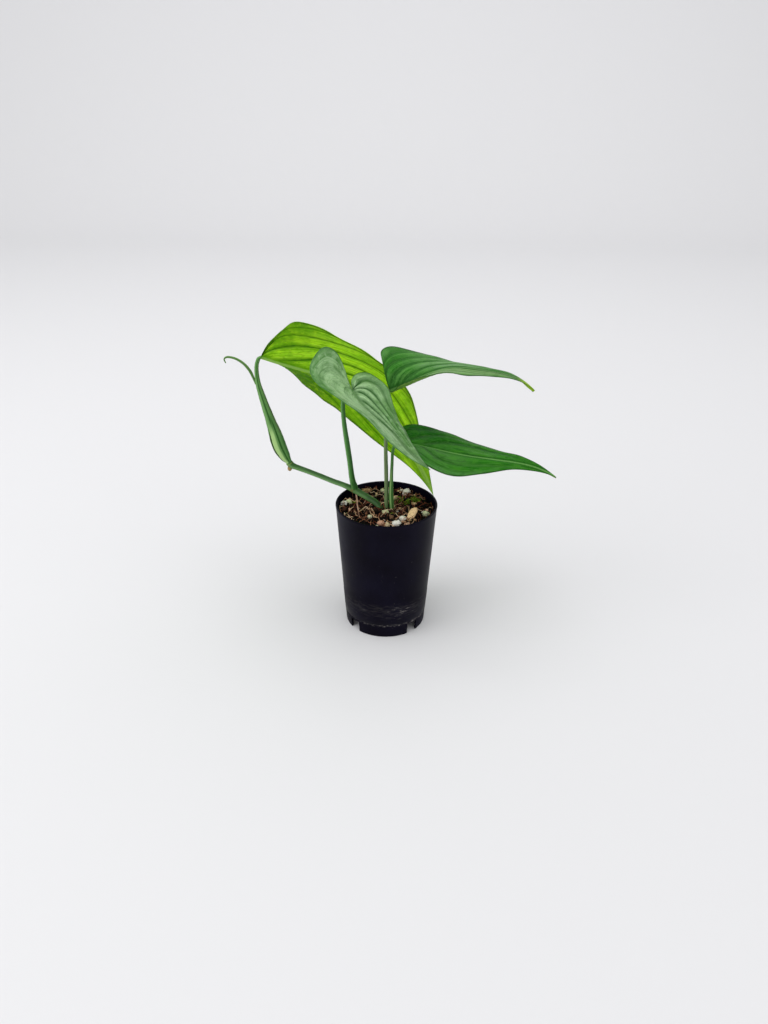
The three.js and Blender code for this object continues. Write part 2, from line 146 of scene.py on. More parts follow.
class Finish:
    # A material with short ways to add and join its nodes
    def __init__(self, name):
        self.material = bpy.data.materials.new(name)
        self.material.use_nodes = True
        self.tree = self.material.node_tree
        self.tree.nodes.clear()
        self.output = self.tree.nodes.new("ShaderNodeOutputMaterial")

    def node(self, kind, inputs=None, output=0, **settings):
        made = self.tree.nodes.new(kind)
        for key, value in settings.items():
            setattr(made, key, value)
        for key, value in (inputs or {}).items():
            self.join(value, made.inputs[key])
        return made.outputs[output]

    def join(self, value, socket):
        if isinstance(value, bpy.types.NodeSocket):
            self.tree.links.new(value, socket)
        else:
            socket.default_value = value

    def number(self, name):
        return self.node("ShaderNodeAttribute", output="Fac", attribute_name=name)

    def vector(self, name):
        return self.node("ShaderNodeAttribute", output="Vector", attribute_name=name)

    def math(self, operation, first, second=0.0, third=0.0):
        return self.node("ShaderNodeMath", {0: first, 1: second, 2: third}, operation=operation)

    def vectorMath(self, operation, first, second=(0, 0, 0), output=0):
        return self.node("ShaderNodeVectorMath", {0: first, 1: second}, output, operation=operation)

    def times(self, value, *factors):
        for factor in factors:
            value = self.math("MULTIPLY", value, factor)
        return value

    def combined(self, x, y, z):
        return self.node("ShaderNodeCombineXYZ", {0: x, 1: y, 2: z})

    def separated(self, place, axis):
        return self.node("ShaderNodeSeparateXYZ", {0: place}, output=axis)

    def between(self, value, low, high, fromValue=0.0, toValue=1.0):
        return self.node("ShaderNodeMapRange", {0: value, 1: low, 2: high, 3: fromValue, 4: toValue},
                         interpolation_type="SMOOTHSTEP")

    def colours(self, share, first, second):
        both = {0: share, 6: paint(first), 7: paint(second)}
        return self.node("ShaderNodeMix", both, output=2, data_type="RGBA")

    def ramp(self, value, *stops):
        made = self.tree.nodes.new("ShaderNodeValToRGB")
        elements = made.color_ramp.elements
        while len(elements) < len(stops):
            elements.new(0.5)
        for element, (place, colour) in zip(elements, stops):
            element.position = place
            element.color = paint(colour)
        self.join(value, made.inputs[0])
        return made.outputs[0]

    def noise(self, place, scale, detail, rough):
        return self.node("ShaderNodeTexNoise",
                         {"Vector": place, "Scale": scale, "Detail": detail, "Roughness": rough})

    def stretched(self, place, x, y, z):
        return self.node("ShaderNodeMapping", {"Vector": place, "Scale": (x, y, z)})

    def objectPlace(self):
        return self.node("ShaderNodeTexCoord", output="Object")

    def bumped(self, height, distance, strength):
        return self.node("ShaderNodeBump", {"Height": height, "Distance": distance, "Strength": strength})

    def surface(self, colour, through=0.0, throughColour=None, **shine):
        settings = {key.replace("_", " "): value for key, value in shine.items()}
        shader = self.node("ShaderNodeBsdfPrincipled", {"Base Color": paint(colour), **settings})
        if through:
            lit = self.node("ShaderNodeBsdfTranslucent", {"Color": throughColour})
            shader = self.node("ShaderNodeMixShader", {0: through, 1: shader, 2: lit})
        self.tree.links.new(shader, self.output.inputs["Surface"])
        return self.material


# Camera, floor and light

viewpoint = {
    "place": (0, -491.3, 340.9), "pitchDown": 27.7, "roll": 0.6, "focalPixels": 824, "framePixels": 1024,
    "sensorWidth": 36, "nearest": 10,
}
studio = {
    "floorSize": 6000, "wallDistance": 1500, "bendRadius": 700, "bendSteps": 16,
    "floorColour": (219, 219, 221), "skyStrength": 0.88,
    "lamps": [
        {"name": "overheadSoftbox", "place": (-150, -100, 1300), "aim": (0, 0, 120), "size": 1300,
         "power": 4.5},
        {"name": "leftSoftbox", "place": (-1200, -500, 800), "aim": (0, 0, 120), "size": 900, "power": 6},
        {"name": "rightSoftbox", "place": (1200, -700, 600), "aim": (0, 0, 120), "size": 900, "power": 2},
        {"name": "wallSoftbox", "place": (0, 500, 1900), "aim": (0, 2200, 1300), "size": 1400, "power": 9},
    ],
}


def addCamera():
    data = bpy.data.cameras.new("camera")
    data.sensor_width = viewpoint["sensorWidth"]
    data.lens = data.sensor_width * viewpoint["focalPixels"] / viewpoint["framePixels"]
    data.clip_start = viewpoint["nearest"] * metresPerMillimetre
    camera = placed("camera", data)
    tilt = Matrix.Rotation(math.radians(90 - viewpoint["pitchDown"]), 4, "X")
    camera.matrix_world = (Matrix.Translation(Vector(viewpoint["place"]) * metresPerMillimetre) @ tilt
                           @ Matrix.Rotation(math.radians(viewpoint["roll"]), 4, "Z"))
    bpy.context.scene.camera = camera


def addStudio():
    # A floor that bends up into a wall, soft lamps and an even sky
    half = studio["floorSize"] / 2
    bend = studio["bendRadius"]
    profile = [(-half, 0)]
    for step in range(studio["bendSteps"] + 1):
        angle = math.radians(90 * step / studio["bendSteps"])
        profile.append((studio["wallDistance"] + bend * math.sin(angle), bend * (1 - math.cos(angle))))
    profile.append((studio["wallDistance"] + bend, half))
    points = [(x, y, z) for y, z in profile for x in (-half, half)]
    faces = [(2 * k, 2 * k + 1, 2 * k + 3, 2 * k + 2) for k in range(len(profile) - 1)]
    mesh = meshOf("paleFloor", points, faces)
    matt = Finish("paleFloor").surface(studio["floorColour"], Roughness=0.9, Specular_IOR_Level=0.2)
    mesh.materials.append(matt)
    floor = placed("paleFloor", mesh)

    for lamp in studio["lamps"]:
        light = bpy.data.lights.new(lamp["name"], "AREA")
        light.size = lamp["size"] * metresPerMillimetre
        light.energy = lamp["power"]
        holder = placed(lamp["name"], light)
        holder.location = Vector(lamp["place"]) * metresPerMillimetre
        aim = Vector(lamp["aim"]) * metresPerMillimetre - holder.location
        holder.rotation_euler = aim.to_track_quat("-Z", "Y").to_euler()

    sky = bpy.data.worlds.new("evenSky")
    sky.use_nodes = True
    background = sky.node_tree.nodes["Background"]
    background.inputs["Color"].default_value = (1, 1, 1, 1)
    background.inputs["Strength"].default_value = studio["skyStrength"]
    bpy.context.scene.world = sky
    bpy.context.scene.view_settings.view_transform = "Standard"


addCamera()
addStudio()
print("camera, floor and light ready")


# Leaf blades

# Angles in degrees, from the base of the midrib to its tip: heading turns from +X towards +Y, pitch
# lifts the midrib and roll tips its left side up. Fold lifts a half blade at the midrib, and curl bends
# it on its way to the margin. Breadth widens or narrows a half from its base to the tip. Lobe is how
# far it reaches back behind the base, ease how far forward its shoulder starts
leaves = {
    "back": {
        "base": (-81.7, 34.7, 179.1), "length": 174.5, "halfWidth": 36, "ease": 0.08,
        "heading": (3.5, 15, 13.5, 14), "pitch": (-20, -21, -50.5, -56.5, -69),
        "roll": (-34.5, -52, -85.5, -85.5),
        "left": {"breadth": (1.06, 1.04, 0.93, 1.08), "lobe": -0.01, "lobeLift": 0, "fold": (15, 18, -5),
                 "curl": (15, -36, 13)},
        "right": {"breadth": (1.21, 1.27, 1.17, 1.19), "lobe": 0, "lobeLift": 0, "fold": (14, 11, 11),
                  "curl": (20, -44, 36)},
        "midrib": {"width": 1.5, "under": 1.4, "groove": 0.25, "tip": 0},
        "veins": {"count": 8, "sweep": 0.34, "fanEnd": 0.1, "bend": 1.6, "pleat": 0.9, "crest": 0.8,
                  "raised": 0.3, "wander": 0.4},
    },
    "front": {
        "base": (-20.3, -0.9, 168.6), "length": 85.5, "halfWidth": 28, "ease": -0.03,
        "heading": (-70, -54, -55, -47), "pitch": (-18, -12, -15, -18, -14), "roll": (-21, -16, -13, -7),
        "left": {"breadth": (0.94, 0.89, 0.84, 0.92), "lobe": 0.21, "lobeLift": -2, "fold": (23, -1, 1),
                 "curl": (-17, -23, -9), "pleat": 1.0},
        "right": {"breadth": (1.13, 1.19, 1.16, 1.15), "lobe": 0.25, "lobeLift": 25, "fold": (16, 25, -4),
                  "curl": (-12, -14, -7), "pleat": 0.2},
        "midrib": {"width": 0.9, "under": 0.7, "groove": 0.45, "tip": 0},
        "veins": {"count": 7, "sweep": 0.62, "fanEnd": 0.71, "bend": 1.2, "pleat": 1.5, "crest": 0.9,
                  "raised": 0.12, "wander": 0.4},
    },
    "upper": {
        "base": (2.8, 13.8, 163.9), "length": 100.5, "halfWidth": 25.5, "ease": 0.04,
        "heading": (16, 8, -7, 2), "pitch": (16, 22, -3, -10, -42), "roll": (31, 5, 4, 15),
        "left": {"breadth": (1.07, 1.09, 1.02, 1.01), "lobe": 0, "lobeLift": 0, "fold": (36, -2, -8),
                 "curl": (7, -22, -1)},
        "right": {"breadth": (0.92, 0.94, 0.9, 0.89), "lobe": 0.01, "lobeLift": 0, "fold": (42, 5, 7),
                  "curl": (35, -4, 3)},
        "midrib": {"width": 0.9, "under": 0.7, "groove": 0.4, "tip": 1.3},
        "veins": {"count": 7, "sweep": 0.42, "fanEnd": 0.3, "bend": 1.5, "pleat": 0.9, "crest": 0.8,
                  "raised": 0.12, "wander": 0.4},
    },
    "lower": {
        "base": (11.2, 3, 132.9), "length": 102.5, "halfWidth": 25, "ease": 0.01,
        "heading": (-17, -19, -27, -28), "pitch": (-4, -6, 2, 2, -19), "roll": (-2, 8, 8, 22),
        "left": {"breadth": (1, 1, 0.99, 1.02), "lobe": 0.07, "lobeLift": -2, "fold": (11, 1, 14),
                 "curl": (0, -20, -5)},
        "right": {"breadth": (1.02, 1.03, 1.03, 1), "lobe": 0, "lobeLift": 0, "fold": (21, 0, 4),
                  "curl": (4, -30, -1)},
        "midrib": {"width": 0.9, "under": 0.7, "groove": 0.4, "tip": 0.8},
        "veins": {"count": 5, "sweep": 0.3, "fanEnd": 0.3, "bend": 1.5, "pleat": 0.8, "crest": 0.9,
                  "raised": 0.12, "wander": 0.8},
    },
}
bladeMake = {
    "rows": 150, "columns": 26, "thickness": 0.55, "marginThickness": 0.36, "midribSteps": 96,
    "firstVeinRow": 0.4, "riseEase": 1.7, "columnEase": 1.35, "waveHeight": 0.22, "wavelength": 23,
    "unevenHeight": 0.5, "unevenSize": 16, "narrowPart": 9, "midribTipWidth": 0.3, "veinWidth": 0.07,
}
# The named values that a blade's mesh holds at each point for its finish
bladeLabels = ("veinPhase", "toMargin", "alongLeaf", "fromMidrib", "leafSide", "pleatShare")


def halfOutline(lobe, ease):
    # Half of the blade's edge, from the base round the lobe to the tip, as shares of length and half width
    return [
        (0, 0), (-0.62 * lobe, 0.1), (-lobe + 0.12 * ease, 0.36), (-0.92 * lobe + 0.5 * ease, 0.68),
        (-0.3 * lobe + ease, 0.92), (0.1 + 1.1 * ease, 1), (0.26 + 0.6 * ease, 0.95), (0.44, 0.76),
        (0.62, 0.49), (0.78, 0.24), (0.91, 0.08), (1, 0),
    ]


def midribSteps(leaf):
    # Even steps along the midrib: the place, the direction, and the directions to the left and out of
    # the top
    count = bladeMake["midribSteps"]
    steps = []
    place = Vector(leaf["base"])
    before = None
    for i in range(count + 1):
        angles = (blendOf(leaf[key], i / count) for key in ("heading", "pitch", "roll"))
        heading, pitch, roll = map(math.radians, angles)
        ahead = Vector((math.cos(heading), math.sin(heading), 0))
        along = ahead * math.cos(pitch) + Vector((0, 0, math.sin(pitch)))
        level = Vector((-ahead.y, ahead.x, 0))
        above = along.cross(level)
        left = level * math.cos(roll) + above * math.sin(roll)
        up = above * math.cos(roll) - level * math.sin(roll)
        if before:
            place = place + (before + along) * (0.5 * leaf["length"] / count)
        steps.append((place, along, left, up))
        before = along
    return steps


def bladePoint(leaf, steps, side, sign, alongLength, across):
    share = min(max(alongLength / leaf["length"], 0), 1)
    exact = share * (len(steps) - 1)
    index = min(int(exact), len(steps) - 2)
    place, along, left, up = (a.lerp(b, exact - index) for a, b in zip(steps[index], steps[index + 1]))
    fold = math.radians(blendOf(side["fold"], share))
    curl = math.radians(blendOf(side["curl"], share)) + 1e-6
    halfWidth = leaf["halfWidth"]
    angle = fold + curl * across / halfWidth
    outward = halfWidth / curl * (math.sin(angle) - math.sin(fold))
    lift = halfWidth / curl * (math.cos(fold) - math.cos(angle))
    behind = min(alongLength, 0)
    lobeLift = 0.5 * math.radians(side["lobeLift"]) * -behind / (0.12 * leaf["length"])
    place = place + along * (behind * math.cos(lobeLift)) + up * (lift - behind * math.sin(lobeLift))
    place = place + left * (sign * outward)
    normal = up * math.cos(angle) - left * (sign * math.sin(angle))
    return place, up.lerp(normal, softStep(0, 1.2, across)).normalized()


def addBlade(name, materials):
    # Rows run from the base round the lobe to the tip, columns from the midrib to the margin
    leaf = leaves[name]
    veins = leaf["veins"]
    midrib = leaf["midrib"]
    rows = bladeMake["rows"]
    columns = bladeMake["columns"]
    steps = midribSteps(leaf)
    seed = float(list(leaves).index(name))
    top, bottom, faces = [], [], []
    values = {label: [] for label in bladeLabels}
    numbers = {}

    def vertex(sideName, row, column):
        share = row / rows
        firstVein = bladeMake["firstVeinRow"]
        rise = max(0, (share - firstVein) / (1 - firstVein)) ** bladeMake["riseEase"]
        key = (sideName, row, column)
        if column == 0:
            key = ("midrib", row)
        if row == 0 or (column == 0 and rise == 0):
            key = "base"
        if row == rows:
            key = "tip"
        if key in numbers:
            return numbers[key]
        side = leaf[sideName]
        sign = 1 if sideName == "left" else -1
        edgeAlong, edgeAcross = blendOf(halfOutline(side["lobe"], leaf["ease"]), share)
        start = rise * leaf["length"]
        end = edgeAlong * leaf["length"]
        edge = max(0, edgeAcross) * leaf["halfWidth"] * blendOf(side["breadth"], share)
        v = (column / columns) ** bladeMake["columnEase"]
        along = start + (end - start) * (0.7 * v * (1 - v) + v * v)
        across = edge * (1.1 * v * (1 - v) + v * v)
        place, normal = bladePoint(leaf, steps, side, sign, along, across)

        lengthShare = min(max(along / leaf["length"], 0), 1)
        wander = veins["wander"] * noise.noise(Vector((4 * share, 2 * v, seed + 5 * sign)))
        sweep = veins["sweep"] * min(1, share / veins["fanEnd"])
        phase = veins["count"] * (share - sweep * v ** veins["bend"]) + wander
        fade = softStep(0, 0.16, v) * (1 - 0.75 * v ** 3) * softStep(0, 0.4, 1 - lengthShare)
        broad = softStep(0, bladeMake["narrowPart"], edge)
        fade *= broad * side.get("pleat", 1)
        crest = abs(math.sin(math.pi * phase)) ** veins["crest"]
        pleat = veins["pleat"] * (crest - 0.6) * fade
        ripple = math.sin(2 * math.pi * end / bladeMake["wavelength"] + 2 * seed)
        wave = bladeMake["waveHeight"] * v ** 3 * ripple
        spot = Vector((along, across * sign, 40 * seed)) / bladeMake["unevenSize"]
        wave += bladeMake["unevenHeight"] * noise.noise(spot) * softStep(0, 0.3, v)
        place = place + normal * (pleat + wave * broad)

        narrow = mixed(midrib["width"], bladeMake["midribTipWidth"], lengthShare)
        groove = midrib["groove"] * (1 - 0.7 * lengthShare) * bell(across, narrow)
        rib = midrib["under"] * (1 - 0.8 * lengthShare) * bell(across, narrow)
        rib += midrib["tip"] * softStep(0.86, 0.95, lengthShare) * (1 - v)
        raised = veins["raised"] * bell(phase - round(phase), bladeMake["veinWidth"]) * fade
        half = 0.5 * mixed(bladeMake["thickness"], bladeMake["marginThickness"], v)
        numbers[key] = len(top)
        top.append(place + normal * (half - min(groove, 1.2 * half)))
        bottom.append(place - normal * (half + rib + raised))
        for label, value in zip(values, (phase, v, lengthShare, across, sign, fade)):
            values[label].append(value)
        return numbers[key]

    for sideName in ("left", "right"):
        for row in range(rows):
            for column in range(columns):
                corners = [vertex(sideName, row, column), vertex(sideName, row + 1, column),
                           vertex(sideName, row + 1, column + 1), vertex(sideName, row, column + 1)]
                face = list(dict.fromkeys(corners))
                if len(face) > 2:
                    faces.append(face if sideName == "left" else face[::-1])

    under = len(top)
    edges = {(face[k - 1], face[k]) for face in faces for k in range(len(face))}
    walls = [[b, a, a + under, b + under] for a, b in sorted(edges) if (b, a) not in edges]
    undersides = [[corner + under for corner in face[::-1]] for face in faces]
    faceMaterials = [0] * len(faces) + [1] * len(undersides) + [0] * len(walls)
    doubled = {label: value + value for label, value in values.items()}
    return addPiece(name + "Blade", top + bottom, faces + undersides + walls, materials,
                    [name + "_blade"], faceMaterials, doubled)


# Each noise has a scale, a detail and a roughness
leafNoise = {
    "grain": (260, 4, 0.6), "patches": (60, 3, 0.55), "streaks": (2.6, 4, 0.6), "mottle": (1.4, 4, 0.7),
    "blotches": (190, 3, 0.65),
}


def leafFinish(name, look):
    finish = Finish(name)
    phase, toMargin, alongLeaf, fromMidrib, side, pleats = (finish.number(label) for label in bladeLabels)
    place = finish.objectPlace()
    fibres = finish.combined(finish.times(phase, 4.0), toMargin, side)
    grain, patches, blotches = (
        finish.noise(place, *leafNoise[key]) for key in ("grain", "patches", "blotches"))
    streaks, mottle = (finish.noise(fibres, *leafNoise[key]) for key in ("streaks", "mottle"))
    cells = finish.combined(finish.times(phase, 7.0), finish.times(toMargin, 12.0), side)
    net = finish.node("ShaderNodeTexVoronoi", {"Vector": cells, "Scale": 1.0}, feature="DISTANCE_TO_EDGE")
    netLine = finish.between(net, 0.12, 0.0)
    fromVein = finish.math("PINGPONG", phase, 0.5)
    flat = finish.combined(alongLeaf, finish.times(toMargin, side), 0.0)
    uneven = finish.times(finish.math("SUBTRACT", patches, 0.5), 0.9)
    tissue = finish.ramp(patches, (0.3, look["dark"]), (0.68, look["light"]))

    def patched(spots):
        colour = tissue
        for along, across, alongSize, acrossSize, patchColour, amount in spots:
            away = finish.vectorMath("SUBTRACT", flat, (along, across, 0))
            away = finish.stretched(away, 1 / alongSize, 1 / acrossSize, 1)
            distance = finish.math("ADD", finish.vectorMath("LENGTH", away, output=1), uneven)
            colour = finish.colours(finish.between(distance, 1.0, 0.25, 0, amount), colour, patchColour)
        return colour

    def covered(value, low, high, amount, colour):
        # The tissue with one of the look's colours over it where the value goes from low to high
        return finish.colours(finish.between(value, low, high, 0, look[amount]), tissue, look[colour])

    tissue = patched(look["patches"])
    tissue = covered(streaks, 0.35, 0.72, "streak", "streakColour")
    tissue = covered(streaks, 0.5, 0.28, "streak", "darkToneAndCreaseShade")
    # The pale mottle and pale blotches are partly the leaf's own mottling and partly painted sheen
    tissue = covered(mottle, 0.48, 0.66, "mottle", "paleMottleAndSheen")
    tissue = covered(mottle, 0.46, 0.3, "mottle", "darkToneAndCreaseShade")
    tissue = patched(look["shades"])
    tissue = covered(blotches, 0.5, 0.64, "blotch", "paleMottleAndSheen")
    tissue = covered(blotches, 0.47, 0.34, "blotch", "darkToneAndCreaseShade")
    # Painted shade: the colour darkens along the pleat valleys at the veins, where the folds lie in shade
    darkToneAndCreaseShade = finish.between(fromVein, look["creaseShadeWidth"], 0.02)
    tissue = finish.colours(finish.times(darkToneAndCreaseShade, pleats, look["creaseShadeShare"]), tissue, look["darkToneAndCreaseShade"])
    tissue = finish.colours(finish.times(netLine, look["netShare"]), tissue, look["vein"])
    line = finish.between(fromVein, look["veinWidth"], look["veinWidth"] * 0.3, 0, look["veinShare"])
    tissue = finish.colours(finish.times(line, finish.between(pleats, 0.05, 0.5)), tissue, look["vein"])
    # Painted shade: a dark band along both sides of the midrib
    tissue = covered(fromMidrib, 3.4 * look["midribWidth"], look["midribWidth"], "midribShade", "darkToneAndCreaseShade")
    tissue = covered(fromMidrib, look["midribWidth"], look["midribWidth"] * 0.5, "midribShare", "midrib")
    tissue = covered(alongLeaf, *look["tipFrom"], "tipShare", "tip")
    tissue = finish.colours(finish.times(finish.between(grain, 0.3, 0.75), 0.14), tissue, look["light"])
    tissue = covered(toMargin, 0.955, 0.985, "marginShare", "margin")

    height = finish.math("MULTIPLY_ADD", netLine, -0.5, finish.times(grain, 0.5))
    height = finish.math("MULTIPLY_ADD", streaks, 0.6, height)
    gloss = finish.between(grain, 0.2, 0.8, look["rough"] - 0.05, look["rough"] + 0.08)
    lit = finish.colours(look["litShare"], tissue, look["lit"])
    return finish.surface(tissue, look["through"], lit, Roughness=gloss, Specular_IOR_Level=look["shine"],
                          Normal=finish.bumped(height, 0.00025, 0.7))


# Patches and shades are places on a leaf by share of its length and share of the way to its margin,
# left side positive, with their sizes, a colour and an amount. Through is the share of light that
# shines through
# darkToneAndCreaseShade is the darker tone of streaks, mottle and blotches, and also the painted shade in
# the pleat valleys and beside the midrib
greenTop = {
    "dark": (44, 108, 30), "light": (74, 138, 54), "patches": [], "shades": [], "rough": 0.4,
    "shine": 0.14, "streak": 0.3, "streakColour": (100, 156, 80), "mottle": 0.35,
    "paleMottleAndSheen": (96, 156, 70), "blotch": 0.3, "darkToneAndCreaseShade": (26, 84, 18), "creaseShadeShare": 0.7,
    "creaseShadeWidth": 0.3, "netShare": 0.12, "vein": (84, 140, 64), "veinWidth": 0.03, "veinShare": 0.25,
    "midrib": (116, 160, 92), "midribWidth": 0.8, "midribShare": 0.6, "midribShade": 0.4,
    "tip": (160, 204, 30), "tipFrom": (0.9, 1.0), "tipShare": 0.0, "margin": (24, 64, 14),
    "marginShare": 0.7, "through": 0.12, "lit": (120, 190, 20), "litShare": 0.5,
}
greenUnder = {
    **greenTop, "dark": (96, 150, 54), "light": (134, 180, 76), "streakColour": (154, 194, 90),
    "paleMottleAndSheen": (150, 190, 84), "darkToneAndCreaseShade": (84, 138, 50), "vein": (70, 120, 44),
    "midrib": (136, 168, 94), "rough": 0.5, "shine": 0.12,
}
leafLooks = {
    "backTop": {**greenTop, "through": 0.86, "lit": (222, 255, 72), "litShare": 0.9},
    # The underside's bright lime colours and the pale patches towards the tip are partly the paler
    # underside and partly a painted glow of light shining through the blade
    "backUnder": {
        **greenUnder, "dark": (132, 208, 8), "light": (192, 242, 40), "shine": 0.07,
        "streak": 0.5, "streakColour": (220, 250, 104), "mottle": 0.6, "paleMottleAndSheen": (206, 236, 60),
        "darkToneAndCreaseShade": (58, 126, 2), "creaseShadeShare": 1.0, "creaseShadeWidth": 0.26, "netShare": 0.34,
        "vein": (30, 84, 4), "veinWidth": 0.06, "veinShare": 0.85,
        "midrib": (150, 184, 112), "midribWidth": 1.9, "midribShare": 0.95, "midribShade": 0.7,
        "margin": (40, 76, 18), "through": 0.5, "lit": (196, 246, 24), "litShare": 0.12,
        "patches": [
            (0.34, -0.98, 0.4, 0.3, (96, 172, 8), 0.6), (0.42, -0.3, 0.2, 0.4, (206, 244, 84), 0.7),
            (0.8, 0.3, 0.24, 0.9, (190, 240, 66), 0.8), (0.97, 0, 0.22, 1.4, (214, 250, 110), 0.95),
            (0.62, -0.95, 0.2, 0.3, (84, 152, 10), 0.5),
        ],
        "shades": [
            (0.02, -0.75, 0.24, 0.6, (54, 128, 0), 0.78), (0.14, 0.75, 0.42, 1.1, (12, 82, 0), 0.95),
            (0.5, 0.9, 0.3, 0.6, (70, 140, 8), 0.6),
        ],
    },
    # The front blade's pale grey-green colours and pale patches are partly the leaf's own colour and partly
    # a painted sheen, the white sky's reflection laid into the colour
    "frontTop": {
        **greenTop, "dark": (116, 158, 96), "light": (150, 186, 134), "shine": 0.18, "through": 0.0,
        "streak": 0.45, "streakColour": (168, 200, 154), "mottle": 0.55, "paleMottleAndSheen": (162, 196, 148),
        "blotch": 0.42, "darkToneAndCreaseShade": (26, 82, 14), "creaseShadeShare": 1.1, "creaseShadeWidth": 0.36, "netShare": 0.3,
        "vein": (44, 98, 30), "veinShare": 0.6, "midribShare": 0.3, "midribShade": 0.7,
        "margin": (54, 104, 40),
        "patches": [
            (0.05, -0.98, 0.4, 0.34, (66, 124, 40), 0.85), (0.2, 0.95, 0.4, 0.3, (72, 130, 56), 0.8),
            (0.2, -0.35, 0.25, 0.4, (156, 190, 144), 0.6), (0.75, -0.9, 0.4, 0.3, (66, 122, 50), 0.7),
            (0.5, 0.65, 0.6, 0.55, (84, 138, 60), 0.8), (0.62, 0.95, 0.5, 0.3, (58, 112, 26), 0.7),
        ],
        "shades": [
            (0.55, 0.75, 0.6, 0.5, (66, 124, 34), 0.62), (0.15, -0.98, 0.3, 0.2, (70, 126, 52), 0.6),
            (0.95, 0, 0.2, 1.3, (158, 192, 140), 0.6),
        ],
    },
    "frontUnder": greenUnder,
    "upperTop": {
        **greenTop, "dark": (30, 96, 12), "light": (64, 126, 40), "shine": 0.1, "through": 0.0,
        "mottle": 0.6, "creaseShadeShare": 1.0, "creaseShadeWidth": 0.36, "netShare": 0.26, "midribWidth": 1.0,
        "midribShade": 0.8, "tipShare": 0.95, "tipFrom": (0.83, 0.95),
        # Painted sheen: the pale grey-green patches in the middle of both halves. The two dark patches at
        # the base are partly the leaf's deep green and partly painted shade where the halves fold
        "patches": [
            (0.0, 0.6, 0.34, 1.2, (28, 110, 0), 0.95), (0.46, 0.4, 0.3, 0.7, (128, 164, 118), 0.85),
            (0.5, -0.6, 0.8, 0.62, (142, 172, 116), 0.9), (0.5, 0.95, 0.4, 0.25, (50, 104, 36), 0.7),
            (0.1, 0.1, 0.14, 0.3, (10, 72, 2), 0.85), (0.7, 0.3, 0.16, 0.6, (60, 130, 44), 0.6),
            (0.02, 0.9, 0.1, 0.2, (104, 156, 92), 0.6),
        ],
    },
    "upperUnder": {**greenUnder, "tipShare": 0.9, "tipFrom": (0.82, 0.97)},
    "lowerTop": {
        **greenTop, "dark": (10, 88, 0), "light": (26, 100, 0), "shine": 0.05, "through": 0.0,
        "streak": 0.5, "streakColour": (48, 118, 22), "mottle": 0.7, "paleMottleAndSheen": (60, 126, 26),
        "blotch": 0.42, "darkToneAndCreaseShade": (4, 58, 0), "creaseShadeShare": 0.75, "netShare": 0.3,
        "midrib": (110, 162, 86), "midribShare": 0.7,
        # Painted sheen: the grey-green patches (72, 126, 54), (100, 150, 90), (88, 148, 64) and (92, 142,
        # 78)
        "patches": [
            (0.1, 0.6, 0.34, 0.7, (18, 92, 0), 0.85), (0.28, -0.4, 0.3, 0.7, (72, 126, 54), 0.8),
            (0.62, -0.3, 0.26, 0.6, (30, 108, 0), 0.7), (0.4, -1.0, 0.3, 0.24, (100, 150, 90), 0.6),
            (0.5, 0.35, 0.14, 0.4, (88, 148, 64), 0.5), (0.3, 0.95, 0.3, 0.2, (92, 142, 78), 0.5),
            (0.8, 0.1, 0.2, 0.9, (30, 104, 0), 0.7),
        ],
        "shades": [
            (0.06, 0.7, 0.3, 0.6, (8, 92, 0), 0.8), (0.8, 0.3, 0.24, 0.9, (24, 100, 0), 0.6),
            (0.62, -0.25, 0.12, 0.4, (34, 116, 0), 0.5),
        ],
    },
    "lowerUnder": greenUnder,
}
leafSlots = {"back": "leaf_translucent", "front": "leaf_sheen", "upper": "leaf_sheen", "lower": "leaf_deep"}
for leafName, slotName in leafSlots.items():
    sides = [leafFinish(leafName + part, leafLooks[leafName + part]) for part in ("Top", "Under")]
    addBlade(leafName, sides)
print("leaf blades ready")


# Stems, petioles and roots

